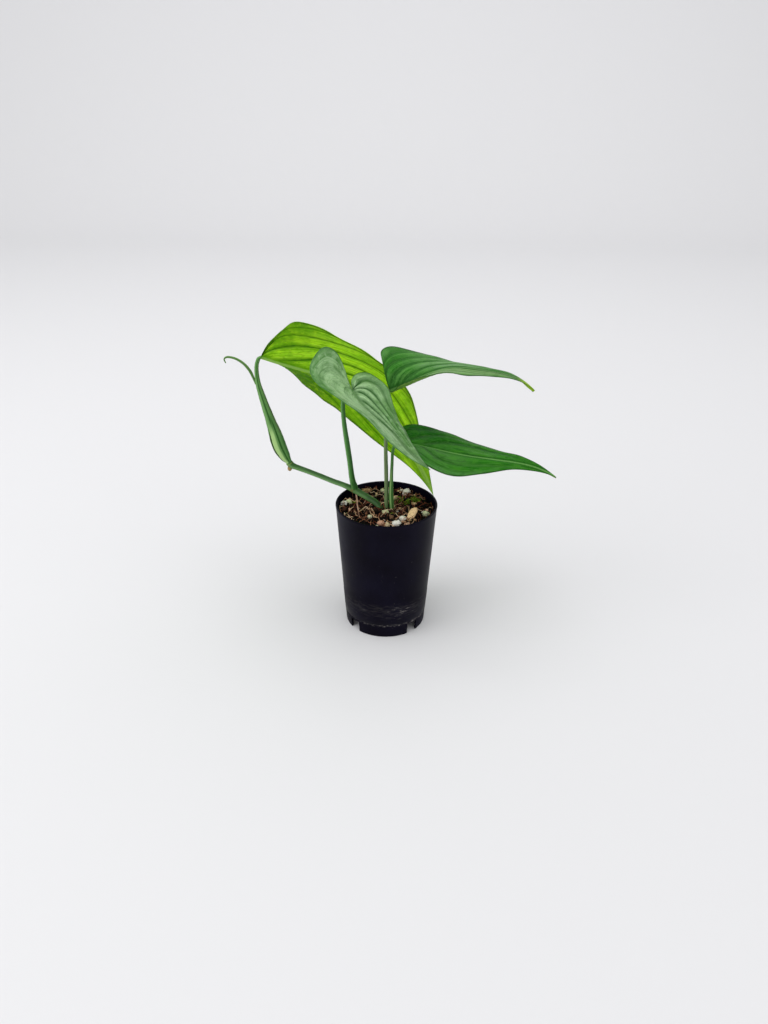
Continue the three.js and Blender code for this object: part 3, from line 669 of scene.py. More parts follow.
# The centre line's points and the half width at even steps along it. Depth, where it is given, is the
# half size across the width. Angles round a stalk start at the viewer's left and turn towards the
# viewer
stalks = {
    "creepingStem": {
        "node": "creeping_stem", "slot": "green_stem",
        "points": [(1.5, -4, 79), (-2.6, 1.4, 85.6), (-6, 4.8, 87.8), (-11, 9.5, 88.9), (-16, 14, 89.8),
                   (-20.4, 17.2, 90.9), (-27.1, 19.8, 92.9), (-36.3, 25, 93.9), (-45, 30, 95.2),
                   (-55.7, 35, 97.1), (-62.2, 37.4, 98.4), (-65.6, 38.3, 99.6), (-67.1, 38.6, 101.4)],
        "width": [1.9, 2, 2.1, 2.1, 2.2, 2.3, 1.9, 1.8, 1.8, 1.85, 2, 2.3, 2.3],
        "ridges": [(60, 14, 0.05), (120, 16, -0.05)], "rings": [(0.43, 0.012, 0.1), (0.95, 0.01, 0.08)],
    },
    "frontPetiole": {
        "node": "front_petiole", "slot": "petiole",
        "points": [(-20.4, 17.4, 91.4), (-20.6, 16.8, 94.5), (-21.4, 15.8, 97.4), (-22.3, 14.5, 104),
                   (-23.2, 13, 114), (-25, 11.5, 129), (-26.6, 10.3, 143), (-27.1, 9.2, 155),
                   (-25.9, 6.6, 162.5), (-22.9, 2.6, 166.3), (-21.3, 0.9, 167.2), (-20.4, -0.8, 168.2)],
        "width": [2.4, 2.3, 2.1, 1.9, 1.8, 1.75, 1.5, 1.35, 1.3, 1.2, 1, 0.8],
        "ridges": [(100, 14, 0.04), (150, 20, -0.06)], "rings": [(0.76, 0.03, 0.06)],
    },
    "backPetiole": {
        "node": "back_petiole", "slot": "young_green",
        "points": [(-67.1, 38.7, 100.2), (-67.6, 38.7, 102.2), (-69.9, 38.1, 106.3), (-73.2, 37.4, 114.2),
                   (-75.6, 36.6, 124), (-78.2, 36, 134), (-80.6, 35.5, 143), (-82.9, 35.1, 152),
                   (-84.8, 35, 160.3), (-85.4, 35, 168), (-85, 35, 173.4), (-83.8, 35, 176.9),
                   (-82.9, 35, 178), (-81.2, 35, 178.9)],
        "width": [2.2, 2.3, 3.9, 5, 4.5, 3.4, 2.8, 2.3, 1.8, 1.45, 1.35, 1.3, 1.1, 0.9],
        "depth": [2.1, 2.2, 2.6, 3, 2.9, 2.5, 2.2, 2, 1.7, 1.45, 1.35, 1.3, 1, 0.8],
        "ridges": [(112, 9, -0.16), (96, 9, 0.06), (150, 16, 0.05), (34, 7, -0.16)],
        "ridgeRange": (0.08, 0.7), "rings": [],
    },
    "upperPetiole": {
        "node": "upper_petiole", "slot": "petiole",
        "points": [(2.5, 1.5, 77), (1.7, 2.5, 85.5), (1.5, 4.5, 97), (1.2, 6.7, 109), (0.7, 9, 125),
                   (0.8, 11.3, 140), (1.1, 13, 152), (1.4, 13.8, 159.3), (1.8, 14, 162.8),
                   (2.7, 13.9, 163.8)],
        "width": [1.3, 1.35, 1.35, 1.35, 1.25, 1.15, 1.1, 1.1, 1, 0.8],
        "ridges": [(75, 14, -0.08), (110, 14, 0.05)], "rings": [],
    },
    "lowerPetiole": {
        "node": "lower_petiole", "slot": "petiole",
        "points": [(6.4, -0.2, 77), (5.3, 0.9, 85.5), (4.6, 1.8, 96), (4.7, 2.4, 108), (5, 2.8, 119),
                   (5.3, 3.1, 126.5), (6.8, 3.1, 130.8), (9.2, 3, 132.2), (11.1, 3, 132.8)],
        "width": [1.5, 1.55, 1.6, 1.15, 1, 1, 0.95, 0.85, 0.7],
        "ridges": [(80, 12, -0.1), (110, 12, 0.05)], "rings": [],
    },
    "rolledLeaf": {
        "node": "rolled_leaf", "slot": "young_green",
        "points": [(-86.4, 35.4, 160), (-87.9, 35.6, 164.2), (-89.9, 35.4, 169), (-93.6, 35, 174),
                   (-98.6, 35, 177.3), (-103.8, 35, 178.4), (-106.2, 35, 177), (-105.4, 35, 174.4)],
        "width": [0.7, 0.8, 1, 0.9, 0.8, 0.7, 0.5, 0.35],
        "ridges": [(70, 12, -0.25), (50, 10, 0.08)], "twist": 200, "rings": [],
    },
    "aerialRoot": {
        "node": "aerial_root", "slot": "root_brown",
        "points": [(-19.4, 15.8, 88.9), (-18.8, 14.2, 87.3), (-18.3, 9, 86.9), (-18, 3, 86.8),
                   (-17.2, -4, 86.9), (-16.4, -9.6, 85.4), (-16.1, -11, 83.4)],
        "width": [0.6, 0.6, 0.55, 0.5, 0.5, 0.5, 0.45], "ridges": [], "rings": [], "rough": 0.16,
    },
}
stalkMake = {
    "ringSpacing": 0.9, "sides": 30, "lookDirection": Vector((0, 1, 0)), "endRoundness": 0.6,
    "unevenSize": 2.2, "unevenHeight": 0.04, "ridgeFade": 0.08, "endAngles": (30, 55, 75, 87),
}


def stalkRadius(stalk, share, angle):
    # The share of the plain radius, with ridges along the stalk and rings round it
    radius = 1
    fadeLength = stalkMake["ridgeFade"]
    first, last = stalk.get("ridgeRange", (-1, 2))
    fade = softStep(first, first + fadeLength, share) * (1 - softStep(last - fadeLength, last, share))
    for middle, width, height in stalk["ridges"]:
        turned = (angle - middle + stalk.get("twist", 0) * share + 180) % 360 - 180
        radius += fade * height * bell(turned, width)
    for middle, width, height in stalk["rings"]:
        radius += height * bell(share - middle, width)
    return radius


def addStalk(name, materials):
    stalk = stalks[name]
    line = stalk["points"]
    depth = stalk.get("depth", stalk["width"])
    unevenHeight = stalk.get("rough", stalkMake["unevenHeight"])
    reach = sum((Vector(b) - Vector(a)).length for a, b in zip(line, line[1:]))
    rings = int(reach / stalkMake["ringSpacing"])
    sides = stalkMake["sides"]
    rounding = [onCircle(angle / 360) for angle in stalkMake["endAngles"]]
    spots = [(0, narrow, -ahead) for narrow, ahead in rounding[::-1]]
    spots += [(ring / rings, 1, 0) for ring in range(rings + 1)]
    spots += [(1, narrow, ahead) for narrow, ahead in rounding]
    points, around, alongValues = [], [], []
    for share, narrow, ahead in spots:
        along = Vector(blendOf(line, min(1, share + 0.01))) - Vector(blendOf(line, max(0, share - 0.01)))
        along.normalize()
        across = along.cross(stalkMake["lookDirection"]).normalized()
        inward = along.cross(across)
        half = blendOf(stalk["width"], share)
        centre = Vector(blendOf(line, share)) + along * (ahead * half * stalkMake["endRoundness"])
        for k in range(sides):
            x, y = onCircle(k / sides)
            radius = narrow * stalkRadius(stalk, share, 360 * k / sides)
            point = centre + across * (x * radius * half) + inward * (y * radius * blendOf(depth, share))
            point += (point - centre) * noise.noise(point / stalkMake["unevenSize"]) * unevenHeight
            points.append(point)
            around.append((x, y, share * reach / 10))
            alongValues.append(share)
    return addPiece(name, points, tubeFaces(len(spots), sides), materials, [stalk["node"]],
                    numbers={"alongStalk": alongValues}, vectors={"around": around})


def stalkFinish(name, look):
    # Fine lengthwise streaks, stripes at angles round the stalk and bands at shares of its length. Most
    # stripes are painted light: pale painted highlights and dark painted shade
    finish = Finish(name)
    around = finish.vector("around")
    along = finish.number("alongStalk")
    streaks = finish.noise(finish.stretched(around, 2.6, 2.6, 0.5), 2.2, 4, 0.6)
    blotches = finish.noise(finish.objectPlace(), 260, 3, 0.6)
    colour = finish.ramp(streaks, (0.3, look["dark"]), (0.7, look["light"]))
    for angle, width, stripeColour, amount, first, last in look.get("stripesWithPaintedLight", ()):
        direction = (*onCircle(angle / 360), 0)
        facing = finish.vectorMath("DOT_PRODUCT", around, direction, output=1)
        stripe = finish.between(facing, math.cos(math.radians(width)), math.cos(math.radians(width * 0.4)))
        within = finish.times(finish.between(along, first - 0.04, first + 0.04),
                              finish.between(along, last + 0.04, last - 0.04, 0, amount))
        colour = finish.colours(finish.times(stripe, within), colour, stripeColour)
    for middle, width, bandColour, amount in look.get("bands", ()):
        away = finish.math("ABSOLUTE", finish.math("SUBTRACT", along, middle))
        colour = finish.colours(finish.between(away, width, 0.3 * width, 0, amount), colour, bandColour)
    colour = finish.colours(finish.between(blotches, 0.55, 0.75, 0, 0.25), colour, look["blotch"])
    height = finish.math("MULTIPLY_ADD", streaks, 1.0, finish.times(blotches, 0.4))
    rough = look.get("rough", 0.42)
    gloss = finish.between(blotches, 0.2, 0.8, rough - 0.06, rough + 0.08)
    return finish.surface(colour, Roughness=gloss, Specular_IOR_Level=look.get("shine", 0.16),
                          Normal=finish.bumped(height, 0.0002, 0.5))


# Stripes have an angle, a half width, a colour, an amount and their first and last share of the length.
# Pale stripes towards the viewer's left are painted highlights; dark stripes on the right side and in
# grooves are painted shade
# Bands have a place, a half width, a colour and an amount
brownScar = (120, 96, 52)
stalkLooks = {
    "creepingStem": {
        "dark": (50, 90, 42), "light": (84, 126, 68), "blotch": (104, 144, 82),
        # Painted highlight at 70 and painted shade at 150; the stripe at 90 darkens the first quarter, at
        # the mix
        "stripesWithPaintedLight": [(70, 34, (112, 152, 94), 0.6, 0, 1), (150, 40, (32, 66, 28), 0.55, 0, 1),
                    (90, 90, (20, 50, 24), 0.6, 0, 0.24)],
        "bands": [(0.43, 0.02, brownScar, 0.6), (0.96, 0.02, (130, 140, 70), 0.6)],
    },
    "frontPetiole": {
        "dark": (46, 98, 42), "light": (76, 130, 62), "blotch": (98, 146, 76),
        # Painted highlight at 50 and painted shade at 140
        "stripesWithPaintedLight": [(50, 26, (104, 152, 84), 0.6, 0, 1), (140, 40, (34, 76, 32), 0.6, 0, 1)],
        "bands": [(0.0, 0.05, brownScar, 0.6)],
    },
    "backPetiole": {
        "dark": (74, 124, 60), "light": (104, 150, 82), "blotch": (128, 170, 96),
        # Painted highlights at 64 and 50; painted shade in the grooves at 112, 94 and 32, and down the
        # right side at 160
        "stripesWithPaintedLight": [(64, 34, (176, 210, 136), 0.8, 0.04, 0.34), (50, 26, (130, 172, 106), 0.45, 0.34, 0.7),
                    (112, 12, (28, 80, 18), 0.9, 0.06, 0.4), (94, 14, (28, 80, 18), 0.85, 0.36, 0.98),
                    (160, 30, (84, 100, 66), 0.7, 0.3, 1), (160, 34, (40, 94, 36), 0.7, 0, 0.3),
                    (32, 20, (36, 62, 12), 0.95, 0.1, 0.32)],
        "bands": [(0.02, 0.03, (150, 160, 84), 0.6)],
    },
    "upperPetiole": {
        "dark": (72, 104, 60), "light": (116, 146, 96), "blotch": (122, 120, 88),
        # The brownish stripe at 78 is the petiole's own colour; painted highlight at 40 and painted shade
        # at 140
        "stripesWithPaintedLight": [(78, 16, (108, 100, 76), 0.75, 0, 1), (40, 18, (128, 156, 98), 0.5, 0, 1),
                    (140, 30, (54, 84, 42), 0.5, 0, 1)],
    },
    "lowerPetiole": {
        "dark": (44, 92, 38), "light": (82, 128, 62), "blotch": (98, 142, 72),
        # Painted highlight at 70 and painted shade at 110
        "stripesWithPaintedLight": [(70, 20, (156, 188, 120), 0.7, 0, 0.42), (110, 12, (36, 72, 28), 0.7, 0, 1)],
    },
    "rolledLeaf": {
        "dark": (70, 108, 50), "light": (112, 152, 78), "blotch": (130, 164, 90),
        "stripesWithPaintedLight": [(100, 30, (50, 84, 40), 0.5, 0, 1)],
    },
    "aerialRoot": {
        "dark": (156, 116, 98), "light": (210, 174, 152), "blotch": (228, 204, 186), "rough": 0.7,
        "shine": 0.1,
    },
    "axillaryBud": {
        "dark": (126, 104, 62), "light": (178, 154, 104), "blotch": (150, 160, 92), "rough": 0.75,
        "shine": 0.1,
    },
}
bud = {
    "centre": (-66.9, 38, 97), "radius": 1.45, "stretch": (1, 0.95, 1.35), "scales": 3, "rings": 22,
    "sides": 26,
}


def addBud(materials):
    # A pointed bud of overlapping scales
    rings, sides = bud["rings"], bud["sides"]
    points, around, along = [], [], []
    for i in range(rings + 1):
        height = -math.cos(math.pi * i / rings)
        for k in range(sides):
            x, y = onCircle(k / sides)
            fall = (height + 1) / 2 * bud["scales"] + 0.7 * x * y
            radius = math.sqrt(max(0, 1 - height * height)) * (1 + 0.12 * (fall % 1))
            spot = zip(bud["stretch"], (x * radius, y * radius, -height))
            points.append(Vector(bud["centre"]) + Vector(s * c * bud["radius"] for s, c in spot))
            around.append((x, y, 0.2 * i))
            along.append(i / rings)
    faces = [face[::-1] for face in tubeFaces(rings + 1, sides, capped=False)]
    return addPiece("axillaryBud", points, faces, materials, ["axillary_bud"],
                    numbers={"alongStalk": along}, vectors={"around": around})


for stalkName in stalks:
    addStalk(stalkName, [stalkFinish(stalkName, stalkLooks[stalkName])])
addBud([stalkFinish("axillaryBud", stalkLooks["axillaryBud"])])
print("stems and petioles ready")


# Nursery pot

pot = {
    "centreX": 1.6, "height": 90, "rimRadius": 34, "footRadius": 27.7, "wall": 1.2, "skirtHeight": 9,
    "segments": 192, "notchCount": 4, "notchWidth": 8, "notchHeight": 8, "notchAngle": 41.5,
    "drainRadius": 3, "drainRing": 15, "edge": 0.3, "seamDepth": 0.2, "seamHeight": 9.2,
    "ringHeight": 24.5, "ringStep": 0.12, "notchReach": 5, "drainSides": 32, "roundedEdge": 0.25,
    "roundedSteps": 2, "roundedAngle": 50, "sharpAngle": 40,
}


def potRadius(height):
    return mixed(pot["footRadius"], pot["rimRadius"], height / pot["height"])


def addCutter(name, corners, halfHeight, angle, radius, height):
    # A block over an outline of corners, with its middle on a circle round the pot's axis
    place = Matrix.Rotation(math.radians(angle), 4, "Z") @ Matrix.Translation((radius, 0, height))
    place = Matrix.Translation((pot["centreX"], 0, 0)) @ place
    points = [place @ Vector((x, y, z)) for z in (-halfHeight, halfHeight) for x, y in corners]
    return placed(name, meshOf(name, points, tubeFaces(2, len(corners))))


def addPot(materials):
    wall, skirt, height, edge = pot["wall"], pot["skirtHeight"], pot["height"], pot["edge"]
    floorTop = skirt + wall
    seam, seamDepth, band = pot["seamHeight"], pot["seamDepth"], pot["ringHeight"]
    # Each spot lies at an offset from the pot's outer radius at a level, and at its own height
    outline = [
        (skirt, -wall - edge, skirt), (skirt, -wall, skirt - edge), (0, -wall, edge), (0, -wall + edge, 0),
        (0, -edge - 0.1, 0), (0, -0.1, edge), (seam, -0.1, seam - 0.35), (seam, -seamDepth, seam - 0.12),
        (seam, -seamDepth, seam + 0.12), (seam, 0.05, seam + 0.4),
        *((z, pot["ringStep"], z) for z in (16, band - 0.4)),
        *((z, 0, z) for z in (band, 34, 46, 58, 70, 80, 87)),
        (height, 0.02, height - 1.2), (height, 0.1, height - 0.6), (height, -0.04, height - 0.12),
        (height, -0.35, height), (height, -wall + 0.3, height), (height, -wall, height - 0.3),
        *((z, -wall, z) for z in (84, 70, 50, 30, floorTop + 1)), (floorTop, -wall - 1, floorTop),
    ]
    profile = [(potRadius(level) + offset, z) for level, offset, z in outline]
    profile = [(0.01, skirt), *profile, (0.01, floorTop)]
    segments = pot["segments"]
    circle = [onCircle(k / segments) for k in range(segments)]
    points = [(pot["centreX"] + radius * x, radius * y, z) for radius, z in profile for x, y in circle]
    faces = tubeFaces(len(profile), segments)
    body = addPiece("nurseryPot", points, faces, materials, ["pot"])
    inward, across = pot["notchReach"], pot["notchWidth"] / 2
    notch = [(inward, across), (-inward, across), (-inward, -across), (inward, -across)]
    drain = [onCircle(k / pot["drainSides"], pot["drainRadius"]) for k in range(pot["drainSides"])]
    cutters = []
    for i in range(pot["notchCount"]):
        angle = pot["notchAngle"] + 360 * i / pot["notchCount"]
        cutters.append(addCutter("notchCutter", notch, pot["notchHeight"], angle, potRadius(0), 0))
        cutters.append(addCutter("drainCutter", drain, 3, angle, pot["drainRing"], skirt + wall / 2))
    for cutter in cutters:
        cut = body.modifiers.new("cut", "BOOLEAN")
        cut.object = cutter
        cut.operation = "DIFFERENCE"
        cut.solver = "EXACT"
    bpy.context.view_layer.update()
    shaped = bpy.data.meshes.new_from_object(body.evaluated_get(bpy.context.evaluated_depsgraph_get()))
    body.modifiers.clear()
    body.data = shaped
    for cutter in cutters:
        bpy.data.objects.remove(cutter)
    shaped.polygons.foreach_set("use_smooth", [True] * len(shaped.polygons))
    rounding = body.modifiers.new("roundedEdges", "BEVEL")
    rounding.width = pot["roundedEdge"] * metresPerMillimetre
    rounding.segments = pot["roundedSteps"]
    rounding.limit_method = "ANGLE"
    rounding.angle_limit = math.radians(pot["roundedAngle"])
    shaped.set_sharp_from_angle(angle=math.radians(pot["sharpAngle"]))
    return body


def blackPlastic():
    # Smooth black plastic with pale dusty scuffs low on the wall, and dots of dirt along the seam
    finish = Finish("blackPlastic")
    place = finish.objectPlace()
    level = finish.separated(place, "Z")
    smears = finish.noise(finish.stretched(place, 170, 170, 1000), 1.0, 4, 0.6)
    specks = finish.noise(finish.stretched(place, 500, 500, 1100), 1.0, 3, 0.6)
    cloud = finish.noise(place, 46, 3, 0.5)
    band = finish.times(finish.between(level, 0.013, 0.021), finish.between(level, 0.029, 0.024))
    seam = finish.times(finish.between(level, 0.0082, 0.009), finish.between(level, 0.0108, 0.0098))
    towardsRight = finish.between(finish.separated(place, "X"), -0.016, 0.012, 0.3, 1.0)
    strokes = finish.times(finish.between(smears, 0.55, 0.68), finish.between(specks, 0.4, 0.6))
    dust = finish.times(strokes, finish.between(cloud, 0.5, 0.62), towardsRight, band, 0.4)
    haze = finish.times(finish.between(smears, 0.4, 0.7), band, 0.07)
    dots = finish.times(seam, finish.between(specks, 0.48, 0.66, 0, 0.5), towardsRight)
    stray = finish.times(finish.between(specks, 0.68, 0.78), finish.between(level, 0.085, 0.01, 0.06, 0.4))
    low = finish.math("ADD", finish.math("ADD", dust, dots), haze)
    amount = finish.math("MAXIMUM", low, stray)
    base = finish.ramp(cloud, (0.35, (6, 4, 15)), (0.7, (12, 10, 26)))
    colour = finish.colours(amount, base, (150, 146, 142))
    gloss = finish.math("ADD", finish.between(cloud, 0.3, 0.7, 0.36, 0.46), finish.times(amount, 0.4))
    height = finish.math("ADD", finish.noise(place, 900, 2, 0.5), finish.times(smears, 0.6))
    return finish.surface(colour, Roughness=gloss, Specular_IOR_Level=0.05,
                          Normal=finish.bumped(height, 0.00006, 0.6))


addPot([blackPlastic()])
print("pot ready")


# Potting mix

mix = {
    "depthBelowRim": 4.5, "topRadius": 32.35, "floorHeight": 10.6, "rings": 64, "segments": 160,
    "lumpHeight": 2.3, "lumpSize": 3.2,
}
# Grains and chips that stand out: place on the surface, half sizes along, across and up, and a tone
# from dark to pale. Chips have a turn and a lean in degrees before the tone
notableGrains = [
    (15.6, 24.4, (2.5, 2.3, 2), 0.9), (-27.2, 5.5, (2.2, 1.9, 1.7), 0.95), (-24, 8, (2.1, 2.2, 1.8), 0.55),
    (1, -6.8, (2.1, 1.7, 1.6), 0.5), (8, -23.5, (3, 2.4, 2.1), 0.98), (12.4, -17, (2.3, 1.8, 1.7), 0.85),
    (-2.2, -21.4, (2.3, 2, 1.8), 0.05), (2.2, -24.6, (1.7, 1.6, 1.4), 0.3), (27.6, -9, (2.2, 2, 1.9), 0.6),
    (8.5, 15.5, (1.8, 1.5, 1.4), 0.1),
]
notableChips = [
    (18.4, -13.6, (5.2, 2.2, 1.1), 66, 32, 1.2), (-12.2, 25.7, (3, 2.4, 1), 20, 0, 0.8),
    (5, -12.5, (2.6, 1.4, 1.1), 100, 12, 0.7), (-8, -4, (4.8, 1.2, 0.9), 25, 0, 0.5),
]
scattered = {"count": 36, "reach": 27.8, "seed": 7, "stemRoom": 4.2, "grainShare": 0.4}
litter = {
    "chips": 360, "grains": 22, "fibres": 220, "roots": 40, "reach": 31.2, "seed": 41, "threadSteps": 12,
    "threadSides": 5, "mossDensity": 26, "mossThickness": 0.14,
}
mossTufts = [(11.5, 12.5, 3.8), (15, 9.5, 2.4), (21.5, 13, 3.4), (-21, 9.5, 1.6), (6, -9, 1.4)]
# How far each kind of lump is pressed towards a block, from 1 for a ball, and how rough it is
lumpShapes = {"grain": (0.85, 0.3), "chip": (0.6, 0.3), "crumb": (0.55, 0.35), "moss": (1, 0.2)}


def mixHeight(x, y):
    return (pot["height"] - mix["depthBelowRim"] + 0.5 * math.sin(0.23 * x + 1.1) * math.cos(0.19 * y)
            + 0.35 * math.sin(0.41 * y - 0.3 * x))


def lumpyHeight(x, y):
    lumps = noise.fractal(Vector((x, y, 3)) / mix["lumpSize"], 0.6, 2.1, 4)
    return mixHeight(x, y) + mix["lumpHeight"] * (lumps - 0.25)


def unitBall(level):
    # Points and faces of a ball of even triangles, as a start for grains, chips and moss
    t = (1 + 5 ** 0.5) / 2
    points = [Vector(p).normalized() for p in (
        (-1, t, 0), (1, t, 0), (-1, -t, 0), (1, -t, 0), (0, -1, t), (0, 1, t), (0, -1, -t), (0, 1, -t),
        (t, 0, -1), (t, 0, 1), (-t, 0, -1), (-t, 0, 1))]
    faces = [(0, 11, 5), (0, 5, 1), (0, 1, 7), (0, 7, 10), (0, 10, 11), (1, 5, 9), (5, 11, 4),
             (11, 10, 2), (10, 7, 6), (7, 1, 8), (3, 9, 4), (3, 4, 2), (3, 2, 6), (3, 6, 8), (3, 8, 9),
             (4, 9, 5), (2, 4, 11), (6, 2, 10), (8, 6, 7), (9, 8, 1)]
    for _ in range(level):
        middles, finer = {}, []
        for face in faces:
            between = []
            for a, b in zip(face, face[1:] + face[:1]):
                key = (min(a, b), max(a, b))
                if key not in middles:
                    middles[key] = len(points)
                    points.append((points[a] + points[b]).normalized())
                between.append(middles[key])
            finer += [(face[0], between[0], between[2]), (face[1], between[1], between[0]),
                      (face[2], between[2], between[1]), tuple(between)]
        faces = finer
    return points, faces


balls = [unitBall(level) for level in range(4)]


class Heap:
    # Many small pieces of one kind, gathered into one mesh with a tone for each
    def __init__(self):
        self.points, self.faces, self.tones = [], [], []

    def add(self, points, faces, tone):
        start = len(self.points)
        self.points += points
        self.faces += [tuple(start + corner for corner in face) for face in faces]
        self.tones += [tone] * len(points)

    def addLump(self, kind, level, centre, size, turn, tone, seed, tilt=(0, 0)):
        place = Matrix.Rotation(tilt[0], 3, "X") @ Matrix.Rotation(tilt[1], 3, "Y")
        place = Matrix.Rotation(turn, 3, "Z") @ place
        boxy, rough = lumpShapes[kind]
        ball, faces = balls[level]
        points = []
        for p in ball:
            pressed = Vector(math.copysign(abs(c) ** boxy, c) for c in p)
            uneven = 1 + rough * noise.fractal(p * 1.4 + Vector((seed, 0, -seed)), 0.7, 2.2, 3)
            points.append(Vector(centre) + place @ Vector(c * s * uneven for c, s in zip(pressed, size)))
        self.add(points, faces, tone)

    def addThread(self, line, radii, tone):
        sides = litter["threadSides"]
        points = []
        for i, spot in enumerate(line):
            along = (line[min(i + 1, len(line) - 1)] - line[max(i - 1, 0)]).normalized()
            across = along.orthogonal().normalized()
            other = along.cross(across)
            for k in range(sides):
                x, y = onCircle(k / sides, radii[i])
                points.append(spot + across * x + other * y)
        self.add(points, tubeFaces(len(line), sides), tone)


def nearStem(x, y, room):
    for name in ("creepingStem", "upperPetiole", "lowerPetiole", "aerialRoot"):
        for step in range(51):
            px, py, pz = blendOf(stalks[name]["points"], step / 50)
            if pz < pot["height"] + 3 and math.hypot(px - x, py - y) < room:
                return True
    return False


def addMixBody(material):
    # The lumpy top, then the side and the floor inside the pot
    rings, segments = mix["rings"], mix["segments"]
    middle = pot["centreX"]
    points = [(middle, 0, lumpyHeight(middle, 0))]
    faces = []
    for ring in range(1, rings + 2):
        for k in range(segments):
            x, y = onCircle(k / segments, mix["topRadius"] * min(ring, rings) / rings)
            z = lumpyHeight(middle + x, y)
            if ring > rings:
                shrink = (potRadius(mix["floorHeight"]) - pot["wall"] - 0.2) / mix["topRadius"]
                x, y, z = x * shrink, y * shrink, mix["floorHeight"]
            points.append((middle + x, y, z))
            here, following = 1 + (ring - 1) * segments + k, 1 + (ring - 1) * segments + (k + 1) % segments
            if ring == 1:
                faces.append((0, here, following))
            else:
                faces.append((here - segments, here, following, following - segments))
    faces.append(tuple(range(1 + rings * segments, 1 + (rings + 1) * segments))[::-1])
    return addPiece("mixBody", points, faces, [material], ["potting_mix"])


def randomSpot(random, reach, middle=0):
    radius = reach * math.sqrt(random())
    x, y = onCircle(random(), radius)
    return middle + x, y


def insidePot(x, y, reach):
    # The same place, or the nearest one on a circle of that reach round the pot's middle
    shrink = min(1, reach / max(math.hypot(x - pot["centreX"], y), 0.01))
    return pot["centreX"] + (x - pot["centreX"]) * shrink, y * shrink


def addNotable(random, grains, chips):
    for x, y, size, tone in notableGrains:
        height = mixHeight(x, y) + 0.35 * size[2] + 0.3
        grains.addLump("grain", 3, (x, y, height), size, random() * math.pi, tone, x)
    for x, y, size, turn, leanAngle, tone in notableChips:
        lean = math.radians(leanAngle)
        tilt = (0.3 * (random() - 0.5), 0.4 * (random() - 0.5) - lean)
        height = mixHeight(x, y) + 0.25 * size[2] + 0.4 + 0.5 * size[0] * math.sin(lean)
        chips.addLump("chip", 3, (x, y, height), size, math.radians(turn), tone, x, tilt)


def addScattered(random, grains, chips):
    for i in range(scattered["count"]):
        x, y = randomSpot(random, scattered["reach"], pot["centreX"])
        length, turn = 1.2 + 1.6 * random(), 2 * math.pi * random()
        asGrain = random() < scattered["grainShare"]
        if nearStem(x, y, scattered["stemRoom"]):
            continue
        spin = random()
        if asGrain:
            size = (0.8 * length, 0.7 * length, 0.7 * length)
            height = mixHeight(x, y) + 0.35 * size[2]
            grains.addLump("grain", 2, (x, y, height), size, spin * math.pi, spin, i)
        else:
            tilt = (0.3 * (spin - 0.5), 0.4 * (random() - 0.5))
            size = (length, 0.5 * length, 0.35 * length)
            chips.addLump("chip", 2, (x, y, mixHeight(x, y) + 0.3), size, turn, spin, i, tilt)


def addLitter(random, grains, chips):
    for i in range(litter["chips"]):
        x, y = randomSpot(random, litter["reach"], pot["centreX"])
        length = 0.6 + 2.3 * random() ** 2.4
        size = (length, length * (0.25 + 0.35 * random()), length * (0.14 + 0.2 * random()))
        tilt = (1.2 * (random() - 0.5), 1.2 * (random() - 0.5))
        turn, tone, rise = 2 * math.pi * random(), 0.7 * random() ** 2.4, 0.9 * random()
        if not nearStem(x, y, 1.6 + 0.5 * length):
            height = lumpyHeight(x, y) + rise * size[2] + 0.2
            chips.addLump("crumb", 1 if length < 1.3 else 2, (x, y, height), size, turn, tone, i, tilt)
    for i in range(litter["grains"]):
        x, y = randomSpot(random, litter["reach"] - 1, pot["centreX"])
        length, tone, turn = 0.5 + 0.7 * random(), random(), 2 * math.pi * random()
        if not nearStem(x, y, 2.5):
            size = (length, 0.8 * length, 0.75 * length)
            grains.addLump("grain", 2, (x, y, lumpyHeight(x, y) + 0.5 * length), size, turn, tone, i)


def addThreads(random, fibres):
    # The last threads are the longer pale roots that lie over the mix
    steps = litter["threadSteps"]
    arch = [math.sin(math.pi * step / steps) for step in range(steps + 1)]
    for i in range(litter["fibres"] + litter["roots"]):
        root = i >= litter["fibres"]
        x, y = randomSpot(random, litter["reach"] - 1, pot["centreX"])
        heading, bend = 2 * math.pi * random(), 0.9 * (random() - 0.5)
        length, lift = 4 + 10 * random() ** 1.5 + 6 * root, 0.5 + 1.9 * random() ** 2
        radius = 0.1 + 0.12 * random() + 0.06 * root
        tone = mixed(0.62 * random(), 0.8 + 0.2 * random(), root)
        line = []
        for step in range(steps + 1):
            heading += bend * 0.3 + 0.26 * noise.noise(Vector((i, 4 * step / steps, 0)))
            x += math.cos(heading) * length / steps
            y += math.sin(heading) * length / steps
            x, y = insidePot(x, y, litter["reach"])
            height = lumpyHeight(x, y) + lift * arch[step] - 0.5 * (1 - arch[step])
            line.append(Vector((x, y, height + 0.8)))
        fibres.addThread(line, [radius * (0.5 + 0.5 * rise) for rise in arch], tone)


def addMoss(random, moss):
    for x, y, spread in mossTufts:
        for k in range(int(litter["mossDensity"] * spread)):
            dx, dy = randomSpot(random, spread)
            length, tone, turn = 0.6 + 0.7 * random(), random(), 2 * math.pi * random()
            tilt = (0.9 * (random() - 0.5), 0.5 + 0.9 * (random() - 0.5))
            base = lumpyHeight(x + dx, y + dy) + 0.5 + 0.8 * random()
            size = (length, 0.4 * length, litter["mossThickness"])
            moss.addLump("moss", 1, (x + dx, y + dy, base), size, turn, tone, k, tilt)


